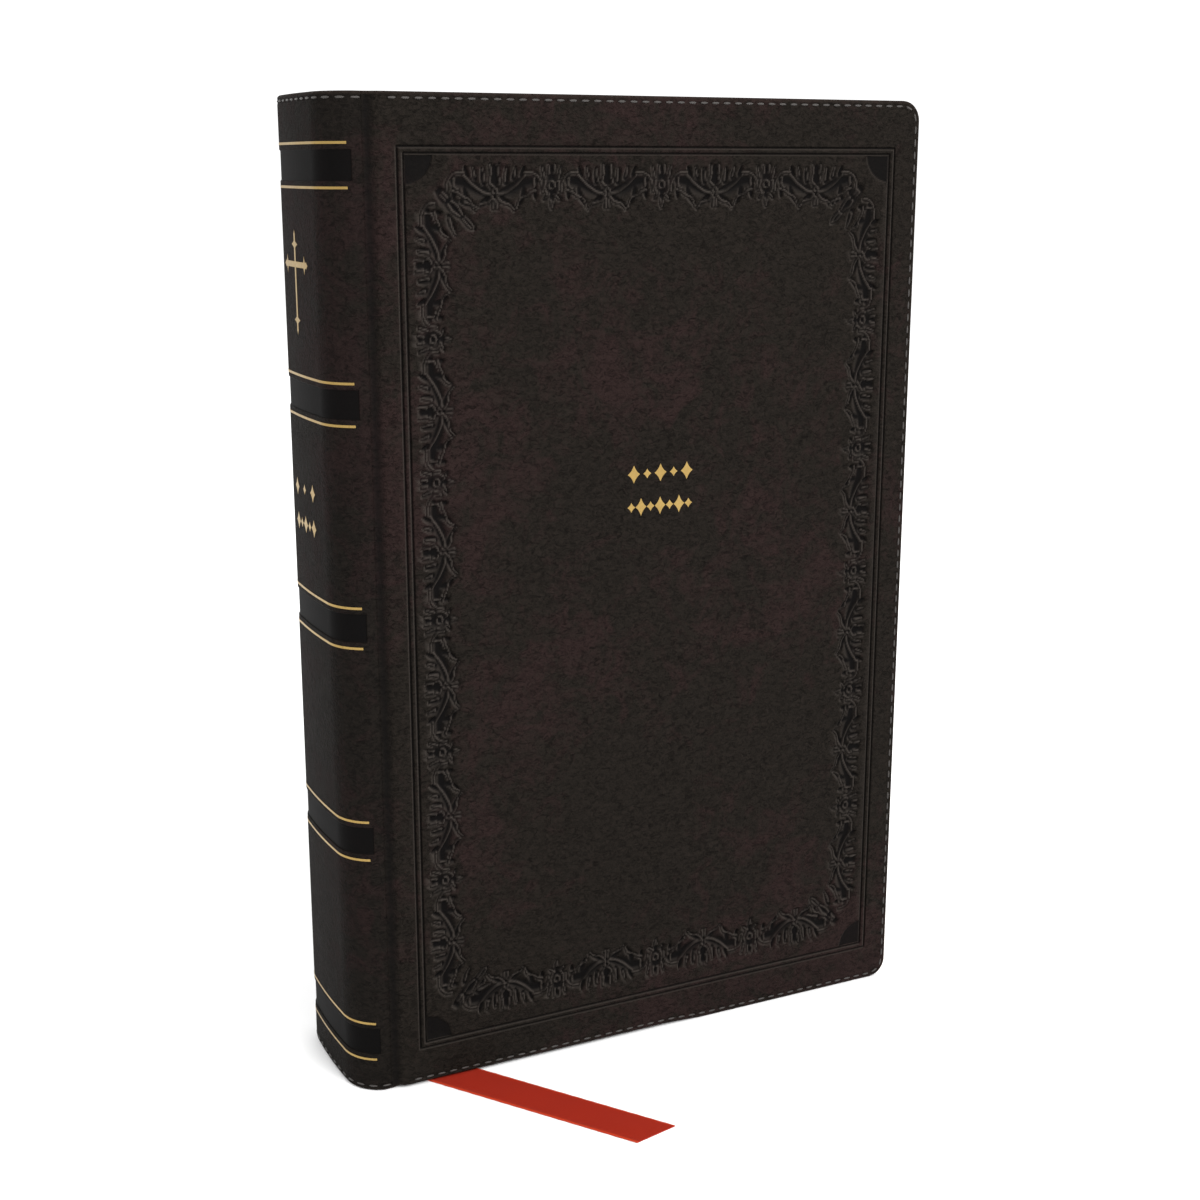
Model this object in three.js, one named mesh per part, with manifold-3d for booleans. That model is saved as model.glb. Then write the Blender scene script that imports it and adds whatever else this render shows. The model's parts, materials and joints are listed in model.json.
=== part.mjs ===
// A leather-covered bible, standing upright on its tail edges. Millimetres, +Z up.
// +X runs from the spine to the fore-edge, the front cover faces -Y and the back cover +Y.
// The origin is at the middle of the closed book's footprint, on the surface that it stands on.

import * as THREE from 'three';
import { mergeVertices } from 'three/addons/utils/BufferGeometryUtils.js';
import Module from 'manifold-3d';

const wasm = await Module();
wasm.setup();

// Overall sizes of the closed book
const bookHeight = 216;
const bookWidth = 141.6;
const bookThickness = 40;

// Spine: the arcs of its plan. The shoulder arcs' centres lie a little behind the joint line.
const shoulderRadius = 10;
const shoulderSetback = 0.4;
const spineCrown = 0.3;
const shoulderInset = 0.6;
const jointWidth = 2.4;

// Covers: leather turned in over a board, with an endpaper pasted over the turn-ins
const leatherThickness = 0.8;
const boardThickness = 1.2;
const turnInThickness = 0.4;
const turnInWidth = 12;
const pastedownThickness = 0.2;
const pastedownInset = 3.4;
const coverCornerRadius = 4.5;
const glueGap = 0.1;
const edgeGap = 0.3;

// How far a cutting tool runs past the face that it cuts
const overcut = 1;

// Joint leather between the spine and a cover
const jointLeatherDrop = 0.9;
const jointSideGap = 0.2;

// Lining of the spine
const stiffenerThickness = 0.6;
const stiffenerAngle = THREE.MathUtils.degToRad(70);
const mullThickness = 0.25;
const mullEndGap = 14;
const liningMargin = 2;
const sewingThickness = 0.25;
const sewingWidth = 0.6;
const sewingStations = 5;
const sewingEndGap = 22;

// Text block: squares are how far the covers stand past the pages
const headSquare = 3.5;
const foreSquare = 4;
const shoulderGap = 0.7;
const backHollow = 0.9;
const leafGap = 0.1;
const flyleafThickness = 0.2;
const frontBundles = 4;
const backBundles = 3;
const bundleThickness = 0.8;
const sections = 8;
const gutterClearance = 0.4;
const gutterReach = 0.1;

// Headbands, standing on the ends of the block at the spine
const bandHeight = 1.3;
const bandDepth = 1.6;
const bandProud = 0.3;
const bandHalfLength = 12.5;

// Ribbon marker: it hangs between two sections and lies out on the table at the tail
const ribbonWidth = 10;
const ribbonThickness = 0.3;
const ribbonSection = 1;
const ribbonSlant = THREE.MathUtils.degToRad(34.5);
const ribbonExitFromJoint = 4.35;
const ribbonBendRadius = 2.6;
const ribbonLength = 66.3;
const ribbonEndSkew = 2.3;
const ribbonLift = 0.05;
const ribbonTurnHeight = 12.5;
const ribbonHeadProud = 0.8;
const ribbonBendSteps = 6;
const ribbonLaySteps = 12;

// The front cover's tail edge is cut back over the ribbon as far as it reaches
const reliefClearance = 0.2;
const reliefMargin = 3;
const reliefRamp = 12;

// Stitching: a thread laid in a shallow groove round the cover's edge
const stitchInset = 1.4;
const threadWidth = 0.4;
const threadThickness = 0.2;
const grooveDepth = 0.3;
const grooveWidth = 0.8;

// Fineness of the curved outlines
const cornerSteps = 6;
const shoulderSteps = 12;
const backSteps = 6;
const blockArcSteps = 16;
const gutterSteps = 6;

// Derived places
const backX = -bookWidth / 2;
const foreX = bookWidth / 2;
const shoulderReach = shoulderRadius + spineCrown;
const jointX = backX + shoulderReach + shoulderSetback;
const faceY = bookThickness / 2;
const shoulderX = backX + shoulderReach;
const shoulderY = faceY - shoulderInset - shoulderRadius;
const shoulderEndAngle = Math.acos((shoulderX - jointX + jointWidth) / shoulderRadius);
const coverThickness = leatherThickness + boardThickness + turnInThickness + 2 * glueGap;
const shellThickness = leatherThickness + stiffenerThickness + turnInThickness + 2 * glueGap;
const pastedownOffset = coverThickness + glueGap;
const blockOffset = pastedownOffset + pastedownThickness + glueGap;
const blockHalf = faceY - blockOffset;
const blockTail = headSquare;
const blockHead = bookHeight - headSquare;
const hingeX = jointX - jointWidth / 2;
const leafStartX = hingeX + gutterClearance;

// The block's round back clears the shell's inner wall at its shoulders and at its middle.
const shellRadius = shoulderRadius - shellThickness;
const shellShoulderX = shoulderX - Math.sqrt(shellRadius ** 2 - (blockHalf - shoulderY) ** 2);
const blockShoulderX = shellShoulderX + shoulderGap;
const blockBackX = backX + shellThickness + backHollow;
const blockRise = blockShoulderX - blockBackX;
const blockRadius = (blockHalf ** 2 + blockRise ** 2) / (2 * blockRise);

// The leaves from front to back: flyleaf, turning bundles, fixed sections, turning bundles, flyleaf
const bundlePitch = bundleThickness + leafGap;
const flyleafPitch = flyleafThickness + leafGap;
const coreStart = -blockHalf + flyleafPitch + frontBundles * bundlePitch;
const coreEnd = blockHalf - flyleafPitch - backBundles * bundlePitch;
const ribbonPitch = ribbonThickness + leafGap;
const sectionPitch = (coreEnd - coreStart + leafGap - ribbonPitch) / sections;
const ribbonY = coreStart + ribbonSection * sectionPitch + ribbonThickness / 2;

// The ribbon's run outside the block: straight down, round the bend, then along the table
const ribbonExitX = jointX + ribbonExitFromJoint;
const ribbonDrop = blockTail - ribbonLift - ribbonThickness / 2 - ribbonBendRadius;
const ribbonBend = ribbonBendRadius * Math.PI / 2;
const ribbonRun = ribbonLength * Math.cos(ribbonSlant);
const ribbonSlantHalf = ribbonWidth / 2 / Math.cos(ribbonSlant);
const ribbonEndX = ribbonExitX + ribbonRun * Math.tan(ribbonSlant) + ribbonSlantHalf;
const ribbonEndY = ribbonY - ribbonBendRadius - (ribbonRun - ribbonDrop - ribbonBend);
const ribbonReach = Math.hypot(ribbonEndX - hingeX, ribbonEndY + faceY);
const reliefLength = ribbonReach + reliefMargin;
const reliefHeight = ribbonLift + ribbonThickness + reliefClearance;

// ---- Geometry helpers ----

function path(points) {
  return new THREE.Shape(points.map(([x, y]) => new THREE.Vector2(x, y)));
}

// Extrude an outline drawn in X and Y between two heights.
function prism(points, z0, z1) {
  const geometry = new THREE.ExtrudeGeometry(path(points), { depth: z1 - z0, bevelEnabled: false });
  return geometry.translate(0, 0, z0);
}

// Extrude an outline drawn in X and Z between two places in Y.
function plate(points, y0, y1) {
  const geometry = new THREE.ExtrudeGeometry(path(points), { depth: y1 - y0, bevelEnabled: false });
  return geometry.rotateX(Math.PI / 2).translate(0, y1, 0);
}

function toSolid(geometry) {
  const bare = geometry.clone();
  bare.deleteAttribute('normal');
  bare.deleteAttribute('uv');
  const merged = mergeVertices(bare, 1e-4);
  return new wasm.Manifold(new wasm.Mesh({
    numProp: 3,
    vertProperties: new Float32Array(merged.attributes.position.array),
    triVerts: new Uint32Array(merged.index.array),
  }));
}

function toGeometry(solid) {
  const mesh = solid.getMesh();
  const geometry = new THREE.BufferGeometry();
  geometry.setAttribute('position', new THREE.BufferAttribute(new Float32Array(mesh.vertProperties), 3));
  geometry.setIndex(new THREE.BufferAttribute(new Uint32Array(mesh.triVerts), 1));
  geometry.computeVertexNormals();
  return geometry;
}

function cut(body, ...tools) {
  return toGeometry(tools.reduce((rest, tool) => rest.subtract(toSolid(tool)), toSolid(body)));
}

function join(...bodies) {
  return toGeometry(bodies.slice(1).reduce((all, body) => all.add(toSolid(body)), toSolid(bodies[0])));
}

// ---- Outlines ----

function rectangle(x0, z0, x1, z1) {
  return [[x0, z0], [x1, z0], [x1, z1], [x0, z1]];
}

// The two rounded corners of a cover's fore-edge, tail first, at an inset from the cover's edges.
function foreCorners(inset) {
  const radius = coverCornerRadius - inset;
  const quarter = (centreZ, start) => {
    const points = [];
    for (let i = 0; i <= cornerSteps; i += 1) {
      const angle = start + (i / cornerSteps) * Math.PI / 2;
      points.push([foreX - coverCornerRadius + radius * Math.cos(angle), centreZ + radius * Math.sin(angle)]);
    }
    return points;
  };
  return [...quarter(coverCornerRadius, -Math.PI / 2), ...quarter(bookHeight - coverCornerRadius, 0)];
}

// A cover's outline at an inset, from the tail of its joint side round to the head. A relief lifts the
// tail edge as far out as the ribbon reaches.
function coverEdge(inset, relief = 0) {
  const tail = [[jointX, inset + relief]];
  if (relief > 0) {
    tail.push([hingeX + reliefLength, inset + relief]);
    tail.push([hingeX + reliefLength + reliefRamp, inset]);
  }
  return [...tail, ...foreCorners(inset), [jointX, bookHeight - inset]];
}

// Two arcs at the shoulders and a flat arc at the back, all offset inward by the same amount.
function spineCurve(offset, endAngle = shoulderEndAngle) {
  const backRadius = (shoulderY ** 2 + shoulderReach ** 2 - shoulderRadius ** 2) / (2 * spineCrown);
  const meet = Math.atan2(shoulderY, backRadius - shoulderReach);
  const points = [];
  for (let i = 0; i <= shoulderSteps; i += 1) {
    const angle = endAngle + (meet - endAngle) * (i / shoulderSteps);
    const radius = shoulderRadius - offset;
    points.push([shoulderX - radius * Math.cos(angle), -shoulderY - radius * Math.sin(angle)]);
  }
  for (let i = 1; i < backSteps; i += 1) {
    const angle = meet * (1 - 2 * (i / backSteps));
    const radius = backRadius - offset;
    points.push([backX + backRadius - radius * Math.cos(angle), -radius * Math.sin(angle)]);
  }
  for (let i = shoulderSteps; i >= 0; i -= 1) {
    const [x, y] = points[i];
    points.push([x, -y]);
  }
  return points;
}

// The wall between two offsets of the spine's curve.
function spineWall(outer, inner, endAngle = shoulderEndAngle) {
  return [...spineCurve(outer, endAngle), ...spineCurve(inner, endAngle).reverse()];
}

// How far the round back stands out behind its shoulders. The fore-edge is hollowed alike.
function blockRoundAt(y) {
  return blockRise - (blockRadius - Math.sqrt(blockRadius ** 2 - y ** 2));
}

function blockBackAt(y) {
  return blockShoulderX - blockRoundAt(y);
}

function blockForeAt(y) {
  return foreX - foreSquare - blockRoundAt(y);
}

// A band that follows the round back between two radial offsets outward of it.
function blockBackBand(inner, outer, half) {
  const centreX = blockBackX + blockRadius;
  const side = (offset) => {
    const points = [];
    for (let i = 0; i <= blockArcSteps; i += 1) {
      const angle = Math.asin(half / blockRadius) * (1 - 2 * (i / blockArcSteps));
      const radius = blockRadius + offset;
      points.push([centreX - radius * Math.cos(angle), -radius * Math.sin(angle)]);
    }
    return points;
  };
  return [...side(outer), ...side(inner).reverse()];
}

// ---- Materials ----

function finish(color, roughness, metalness = 0) {
  return new THREE.MeshStandardMaterial({ color, roughness, metalness });
}

const leatherFinish = () => finish('#2a2522', 0.62);
const boardFinish = () => finish('#8c8478', 0.9);
const endpaperFinish = () => finish('#e6dcc6', 0.85);
const pageFinish = () => finish('#efe7d2', 0.8);
const threadFinish = () => finish('#8d8a86', 0.7);
const mullFinish = () => finish('#d8d2c2', 0.95);
const ribbonFinish = () => finish('#9c2e20', 0.45);
const bandFinish = () => finish('#b9a06a', 0.6);

const book = new THREE.Group();

function addPiece(name, geometry, material, parent = book) {
  const mesh = new THREE.Mesh(geometry, material);
  mesh.name = name;
  parent.add(mesh);
  return mesh;
}

// ---- Covers ----

// Sides are -1 for the front and +1 for the back. A layer lies between two depths from the face.
function layer(side, points, depth0, depth1) {
  const y0 = side * (faceY - depth0);
  const y1 = side * (faceY - depth1);
  return plate(points, Math.min(y0, y1), Math.max(y0, y1));
}

// The band that runs round a cover's three free edges, centred on an inset.
function edgeBand(centre, width, relief) {
  const outer = coverEdge(centre - width / 2, relief);
  const inner = coverEdge(centre + width / 2, relief);
  return [...outer, ...inner.reverse()];
}

// The pocket that holds the board is open at the joint side, and so is its mouth between the turn-ins.
function coverLeather(side, relief) {
  const openX = jointX - overcut;
  const pocket = [
    [openX, leatherThickness],
    ...foreCorners(leatherThickness),
    [openX, bookHeight - leatherThickness],
  ];
  const mouth = rectangle(openX, turnInWidth, foreX - turnInWidth, bookHeight - turnInWidth);
  const pocketEnd = coverThickness - turnInThickness;
  return cut(
    layer(side, coverEdge(0, relief), 0, coverThickness),
    layer(side, pocket, leatherThickness, pocketEnd),
    layer(side, mouth, pocketEnd - glueGap, coverThickness + overcut),
    layer(side, edgeBand(stitchInset, grooveWidth, relief), -overcut, grooveDepth),
  );
}

function coverBoard(side) {
  const start = leatherThickness + glueGap;
  return layer(side, coverEdge(leatherThickness + edgeGap), start, start + boardThickness);
}

// The endpaper is pasted over the turn-ins and down on to the board between them.
function coverPastedown(side) {
  const inset = (size) => rectangle(jointX + edgeGap, size, foreX - size, bookHeight - size);
  const sheet = inset(pastedownInset);
  const pad = inset(turnInWidth + edgeGap);
  const padStart = coverThickness - turnInThickness;
  return join(
    layer(side, sheet, pastedownOffset, pastedownOffset + pastedownThickness),
    layer(side, pad, padStart, pastedownOffset + pastedownThickness / 2),
  );
}

function coverThread(side, relief) {
  return layer(side, edgeBand(stitchInset, threadWidth, relief), grooveDepth - glueGap - threadThickness,
    grooveDepth - glueGap);
}

for (const [name, side, relief] of [['front', -1, reliefHeight], ['back', 1, 0]]) {
  addPiece(`${name}_cover_leather`, coverLeather(side, relief), leatherFinish());
  addPiece(`${name}_board`, coverBoard(side), boardFinish());
  addPiece(`${name}_pastedown`, coverPastedown(side), endpaperFinish());
  addPiece(`${name}_cover_stitching`, coverThread(side, relief), threadFinish());
}

// ---- Spine ----

function spineLeather() {
  const stiffenerEnd = leatherThickness + stiffenerThickness + 2 * glueGap;
  const groove = spineWall(-overcut, grooveDepth);
  const grooveAt = (centre) => prism(groove, centre - grooveWidth / 2, centre + grooveWidth / 2);
  return cut(
    prism(spineWall(0, shellThickness), 0, bookHeight),
    prism(spineWall(leatherThickness, stiffenerEnd), leatherThickness, bookHeight - leatherThickness),
    prism(spineWall(stiffenerEnd - glueGap, shellThickness + overcut), turnInWidth, bookHeight - turnInWidth),
    grooveAt(stitchInset),
    grooveAt(bookHeight - stitchInset),
  );
}

addPiece('spine_leather', spineLeather(), leatherFinish());

const stiffenerStart = leatherThickness + glueGap;
const stiffenerInset = leatherThickness + edgeGap;
addPiece('spine_stiffener', prism(
  spineWall(stiffenerStart, stiffenerStart + stiffenerThickness, stiffenerAngle),
  stiffenerInset, bookHeight - stiffenerInset,
), boardFinish());

for (const [name, centre] of [['tail', stitchInset], ['head', bookHeight - stitchInset]]) {
  const wall = spineWall(grooveDepth - glueGap - threadThickness, grooveDepth - glueGap);
  addPiece(`spine_${name}_stitching`, prism(wall, centre - threadWidth / 2, centre + threadWidth / 2),
    threadFinish());
}

for (const [name, side] of [['front', -1], ['back', 1]]) {
  const strip = rectangle(jointX - jointWidth + jointSideGap, 0, jointX - jointSideGap, bookHeight);
  addPiece(`${name}_joint_leather`, layer(side, strip, jointLeatherDrop, jointLeatherDrop + leatherThickness),
    leatherFinish());
}

// ---- Text block ----

// A bundle of leaves between two places in Y, from a start in X (or its bound edge) to its fore-edge.
function leaves(y0, y1, startX = null) {
  const middle = (y0 + y1) / 2;
  const near = [y0, middle, y1].map((y) => [startX ?? blockBackAt(y), y]);
  const far = [y1, middle, y0].map((y) => [blockForeAt(y), y]);
  const points = startX === null ? [...near, ...far] : [near[0], near[2], ...far];
  return prism(points, blockTail, blockHead);
}

// The glued inner margin of the leaves that turn with a cover.
function gutter(y0, y1) {
  const points = [];
  for (let i = 0; i <= gutterSteps; i += 1) {
    const y = y0 + (y1 - y0) * (i / gutterSteps);
    points.push([blockBackAt(y), y]);
  }
  points.push([hingeX + gutterReach, y1], [hingeX + gutterReach, y0]);
  return prism(points, blockTail, blockHead);
}

addPiece('front_flyleaf', leaves(-blockHalf, -blockHalf + flyleafThickness, leafStartX), endpaperFinish());
for (let i = 0; i < frontBundles; i += 1) {
  const y = -blockHalf + flyleafPitch + i * bundlePitch;
  addPiece(`front_leaves_${i + 1}`, leaves(y, y + bundleThickness, leafStartX), pageFinish());
}
addPiece('front_gutter', gutter(-blockHalf + leafGap, coreStart - leafGap), pageFinish());

for (let i = 0; i < sections; i += 1) {
  const y = coreStart + i * sectionPitch + (i >= ribbonSection ? ribbonPitch : 0);
  addPiece(`text_section_${i + 1}`, leaves(y, y + sectionPitch - leafGap), pageFinish());
}

addPiece('back_flyleaf', leaves(blockHalf - flyleafThickness, blockHalf, leafStartX), endpaperFinish());
for (let i = 0; i < backBundles; i += 1) {
  const y = blockHalf - flyleafPitch - i * bundlePitch;
  addPiece(`back_leaves_${i + 1}`, leaves(y - bundleThickness, y, leafStartX), pageFinish());
}
addPiece('back_gutter', gutter(coreEnd + leafGap, blockHalf - leafGap), pageFinish());

// ---- Spine lining ----

const liningHalf = blockHalf - liningMargin;
const sewingInner = glueGap;
const mullInner = sewingInner + sewingThickness + glueGap;

function sewingThread() {
  const bar = blockBackBand(sewingInner, sewingInner + sewingThickness, liningHalf);
  const link = blockBackBand(sewingInner, sewingInner + sewingThickness, sewingWidth / 2);
  const pitch = (blockHead - blockTail - 2 * sewingEndGap) / (sewingStations - 1);
  const first = blockTail + sewingEndGap;
  const bodies = [prism(link, first, first + (sewingStations - 1) * pitch)];
  for (let i = 0; i < sewingStations; i += 1) {
    const z = first + i * pitch;
    bodies.push(prism(bar, z - sewingWidth / 2, z + sewingWidth / 2));
  }
  return join(...bodies);
}

addPiece('sewing_thread', sewingThread(), threadFinish());
addPiece('spine_mull', prism(
  blockBackBand(mullInner, mullInner + mullThickness, liningHalf),
  blockTail + mullEndGap, blockHead - mullEndGap,
), mullFinish());

// ---- Headbands ----

const bandWall = blockBackBand(bandProud - bandDepth, bandProud, bandHalfLength);
const headbandStart = blockHead + glueGap;
const tailbandStart = blockTail - glueGap - bandHeight;
addPiece('headband', prism(bandWall, headbandStart, headbandStart + bandHeight), bandFinish());
addPiece('tailband', prism(bandWall, tailbandStart, tailbandStart + bandHeight), bandFinish());

// ---- Ribbon ----

// Inside the block the ribbon is flat between two sections and turns to its slant near the tail.
function ribbonInside() {
  const bottom = blockTail + edgeGap;
  const exitX = ribbonExitX - edgeGap * Math.tan(ribbonSlant);
  const left = blockBackAt(ribbonY) + bandDepth + edgeGap;
  const right = left + ribbonWidth;
  const points = [
    [exitX - ribbonSlantHalf, bottom],
    [exitX + ribbonSlantHalf, bottom],
    [right, blockTail + ribbonTurnHeight],
    [right, blockHead + ribbonHeadProud],
    [left, blockHead + ribbonHeadProud],
    [left, blockTail + ribbonTurnHeight],
  ];
  return plate(points, ribbonY - ribbonThickness / 2, ribbonY + ribbonThickness / 2);
}

// Outside, one strip: down from the block's tail, round a bend, then flat along the table.
// A point is given by how far it lies across and along the flat ribbon, and which face it is on.
function ribbonOutside() {
  const bendEnd = ribbonDrop + ribbonBend;
  const stops = [0];
  for (let i = 0; i <= ribbonBendSteps; i += 1) stops.push(ribbonDrop + ribbonBend * (i / ribbonBendSteps));
  for (let i = 1; i <= ribbonLaySteps; i += 1) {
    stops.push(bendEnd + (ribbonRun - bendEnd) * (i / ribbonLaySteps));
  }

  const geometry = new THREE.BoxGeometry(1, stops.length - 1, 1, 1, stops.length - 1, 1);
  const position = geometry.attributes.position;
  for (let i = 0; i < position.count; i += 1) {
    const across = position.getX(i) * 2;
    const stop = stops[Math.round((stops.length - 1) / 2 - position.getY(i))];
    const skew = stop === stops.at(-1) ? -across * ribbonEndSkew / 2 : 0;
    const along = stop + skew;
    const face = position.getZ(i) * ribbonThickness;
    const x = ribbonExitX + along * Math.tan(ribbonSlant) + across * ribbonSlantHalf;
    if (along <= ribbonDrop) {
      position.setXYZ(i, x, ribbonY - face, blockTail - along);
    } else if (along < bendEnd) {
      const angle = (along - ribbonDrop) / ribbonBendRadius;
      const radius = ribbonBendRadius - face;
      position.setXYZ(i, x, ribbonY - ribbonBendRadius + radius * Math.cos(angle),
        blockTail - ribbonDrop - radius * Math.sin(angle));
    } else {
      const y = ribbonY - ribbonBendRadius - (along - bendEnd);
      position.setXYZ(i, x, y, blockTail - ribbonDrop - ribbonBendRadius + face);
    }
  }
  return geometry;
}

addPiece('ribbon_marker', ribbonInside(), ribbonFinish());
addPiece('ribbon_tail', ribbonOutside(), ribbonFinish());

export default book;
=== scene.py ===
"""A leather-covered bible with a ribbon marker: its covers, spine, stamping, stitching and text block."""

import json
import math

import bmesh
import bpy
import numpy as np
from mathutils import Matrix, Vector


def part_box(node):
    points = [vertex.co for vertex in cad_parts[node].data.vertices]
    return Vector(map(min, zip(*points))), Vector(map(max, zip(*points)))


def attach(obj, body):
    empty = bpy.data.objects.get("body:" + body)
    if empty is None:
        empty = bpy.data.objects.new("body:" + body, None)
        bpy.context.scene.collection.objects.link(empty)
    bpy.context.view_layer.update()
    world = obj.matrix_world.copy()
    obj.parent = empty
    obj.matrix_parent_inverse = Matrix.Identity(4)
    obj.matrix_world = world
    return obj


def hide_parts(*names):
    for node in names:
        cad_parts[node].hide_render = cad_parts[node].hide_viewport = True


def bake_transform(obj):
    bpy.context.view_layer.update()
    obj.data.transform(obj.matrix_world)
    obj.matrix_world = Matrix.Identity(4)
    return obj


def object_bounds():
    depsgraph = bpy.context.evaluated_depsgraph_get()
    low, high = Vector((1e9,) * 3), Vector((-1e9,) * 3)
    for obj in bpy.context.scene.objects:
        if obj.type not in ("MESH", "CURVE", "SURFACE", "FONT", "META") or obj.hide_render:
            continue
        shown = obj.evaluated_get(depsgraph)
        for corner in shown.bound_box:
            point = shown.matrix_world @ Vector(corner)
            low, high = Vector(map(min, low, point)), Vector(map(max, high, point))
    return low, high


bl_info = {
    "name": "Leather Bible",
    "version": (1, 0, 0),
    "blender": (4, 5, 0),
    "location": "3D View > Sidebar > Bible",
    "description": "Builds a leather-covered bible round its packed frame",
    "category": "Object",
}

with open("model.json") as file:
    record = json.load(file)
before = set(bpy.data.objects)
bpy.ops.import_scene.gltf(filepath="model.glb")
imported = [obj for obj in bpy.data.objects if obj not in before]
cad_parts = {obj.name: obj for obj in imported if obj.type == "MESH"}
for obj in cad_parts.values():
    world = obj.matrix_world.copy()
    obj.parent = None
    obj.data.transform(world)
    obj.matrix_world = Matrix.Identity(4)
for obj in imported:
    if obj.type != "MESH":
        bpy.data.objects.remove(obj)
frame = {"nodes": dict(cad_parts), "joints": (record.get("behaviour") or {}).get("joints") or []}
cad_box = [list(corner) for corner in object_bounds()]

# All plans are drawn in millimetres and turned to metres when a mesh is finished.
MM = 0.001

# ---- The closed book, from the frame ----

HEIGHT = cad_box[1][2] / MM
FACE_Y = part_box("back_cover_leather")[1][1] / MM
FORE_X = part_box("front_cover_leather")[1][0] / MM
JOINT_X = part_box("front_cover_leather")[0][0] / MM
BACK_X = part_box("spine_leather")[0][0] / MM
BLOCK_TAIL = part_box("text_section_4")[0][2] / MM
BLOCK_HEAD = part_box("text_section_4")[1][2] / MM
HINGE_X = frame["joints"][0]["pos_m"][0] / MM
FORE = FORE_X - JOINT_X
THICKNESS = 2 * FACE_Y

# ---- The case's leather ----

LEATHER = 0.8
COVER_DEPTH = 2.6
TURN_IN = 0.4
TURN_IN_REACH = 4.2
CORNER = 4.5
EDGE_ROUND = LEATHER
SEAM = -2.6
# Over the ribbon the front cover's tail edge is lifted by this much, as far as this from the joint line
RELIEF_LIFT = 0.55
RELIEF_REACH = 66.5
RELIEF_RAMP = 12.0

# The frame pressed into a cover, from the joint line and from the tail
LINE_OUTER = (4.35, 9.0, 124.1, 205.5)
LINE_INNER = (5.7, 10.3, 122.7, 204.2)
LINE_WIDTH = 0.62
LINE_DEPTH = 0.3
SWELL_WIDTH = 1.1
SWELL_HEIGHT = 0.08
DISC_RADIUS = 6.3
DISC_DEPTH = 0.18
BORDER_REACH = 14.2
HEAD_CROWNS = (25.4, 51.1, 77.2, 103.3)
SIDE_CROWNS = (33.3, 63.1, 92.9, 122.5, 152.2, 182.0)
HEAD_BAND_CENTRE, TAIL_BAND_CENTRE, HEAD_BAND_HALF = 6.4, 8.3, 4.4
SIDE_BAND_CENTRE, SIDE_BAND_HALF = 5.6, 3.7

# The spine's pressed bands and gold rules, from the tail
SPINE_BANDS = (12.2, 59.8, 107.4, 154.4, 201.8)
SPINE_BAND_HEIGHT = 6.4
SPINE_BAND_DEPTH = 0.22
RULE_OFFSET = 4.35
RULE_WIDTH = 0.52
BAND_END_X = -4.5
RULE_END_X = -5.45

# The stitch line's distance from a free edge, and how deep the stitches pull the leather down
STITCH_INSET = 1.25
STITCH_GROOVE = 0.14
STITCH_REACH = 0.75

# The gold stamped on the spine: the cross's shaft, arms and place, then two rows of lozenges
CROSS_Y = 1.8
CROSS_FOOT, CROSS_HEAD = 168.2, 188.0
CROSS_ARM_Z, CROSS_ARM_REACH = 181.8, 7.2
CROSS_HALF_SHAFT, CROSS_HALF_ARM = 0.45, 0.6
SPINE_ROWS = ((134.2, 3), (126.6, 5))
SPINE_ROW_REACH = 5.6

# The rows of lozenges on the front cover: height, places, first and last place
COVER_ROWS = ((135.6, 5, 57.6, 70.9), (128.2, 7, 57.0, 71.4))

# The text block's rounded back and hollowed fore-edge, which are arcs of one radius
BLOCK_HALF = 17.0
BLOCK_RISE = 5.6
BLOCK_RADIUS = (BLOCK_HALF**2 + BLOCK_RISE**2) / (2 * BLOCK_RISE)
BLOCK_BACK_X = BACK_X + 2.9
FORE_SQUARE = 4.0


def linear(code):
    """The linear colour of an sRGB hex code such as #2a2522."""
    parts = [int(code[i : i + 2], 16) / 255 for i in (1, 3, 5)]
    return tuple(c / 12.92 if c <= 0.04045 else ((c + 0.055) / 1.055) ** 2.4 for c in parts) + (1.0,)


# ---- Settings ----


class BindingSettings(bpy.types.PropertyGroup):
    leather_colour: bpy.props.FloatVectorProperty(
        name="Leather", description="Colour of the cover leather", subtype="COLOR", size=3,
        min=0, max=1, default=linear("#1b1815")[:3])
    warm_colour: bpy.props.FloatVectorProperty(
        name="Warm mottling", description="Redder brown of the leather's mottling", subtype="COLOR", size=3,
        min=0, max=1, default=linear("#251b1a")[:3])
    # Pressed leather's colour: the tool's real darkening, deepened as painted shade in the recesses.
    pressed_and_shade_colour: bpy.props.FloatVectorProperty(
        name="Pressed leather", description="Colour where a hot tool has pressed the leather",
        subtype="COLOR", size=3, min=0, max=1, default=linear("#0b0a0a")[:3])
    relief_depth: bpy.props.FloatProperty(
        name="Relief depth", description="How deep the border is pressed", default=0.6 * MM,
        min=0, max=MM, unit="LENGTH", subtype="DISTANCE")
    stitch_pitch: bpy.props.FloatProperty(
        name="Stitch pitch", description="Distance from one stitch to the next", default=2.82 * MM,
        min=MM, max=6 * MM, unit="LENGTH", subtype="DISTANCE")


class TextBlockSettings(bpy.types.PropertyGroup):
    paper_colour: bpy.props.FloatVectorProperty(
        name="Paper", description="Colour of the leaves", subtype="COLOR", size=3,
        min=0, max=1, default=linear("#c9c1ae")[:3])
    edge_colour: bpy.props.FloatVectorProperty(
        name="Edge gilding", description="Colour of the gilt edges", subtype="COLOR", size=3,
        min=0, max=1, default=linear("#d2ac5c")[:3])
    leaves_per_bundle: bpy.props.IntProperty(
        name="Leaves in a bundle", description="Leaves drawn in each turning bundle", default=4, min=1, max=8)


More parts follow.
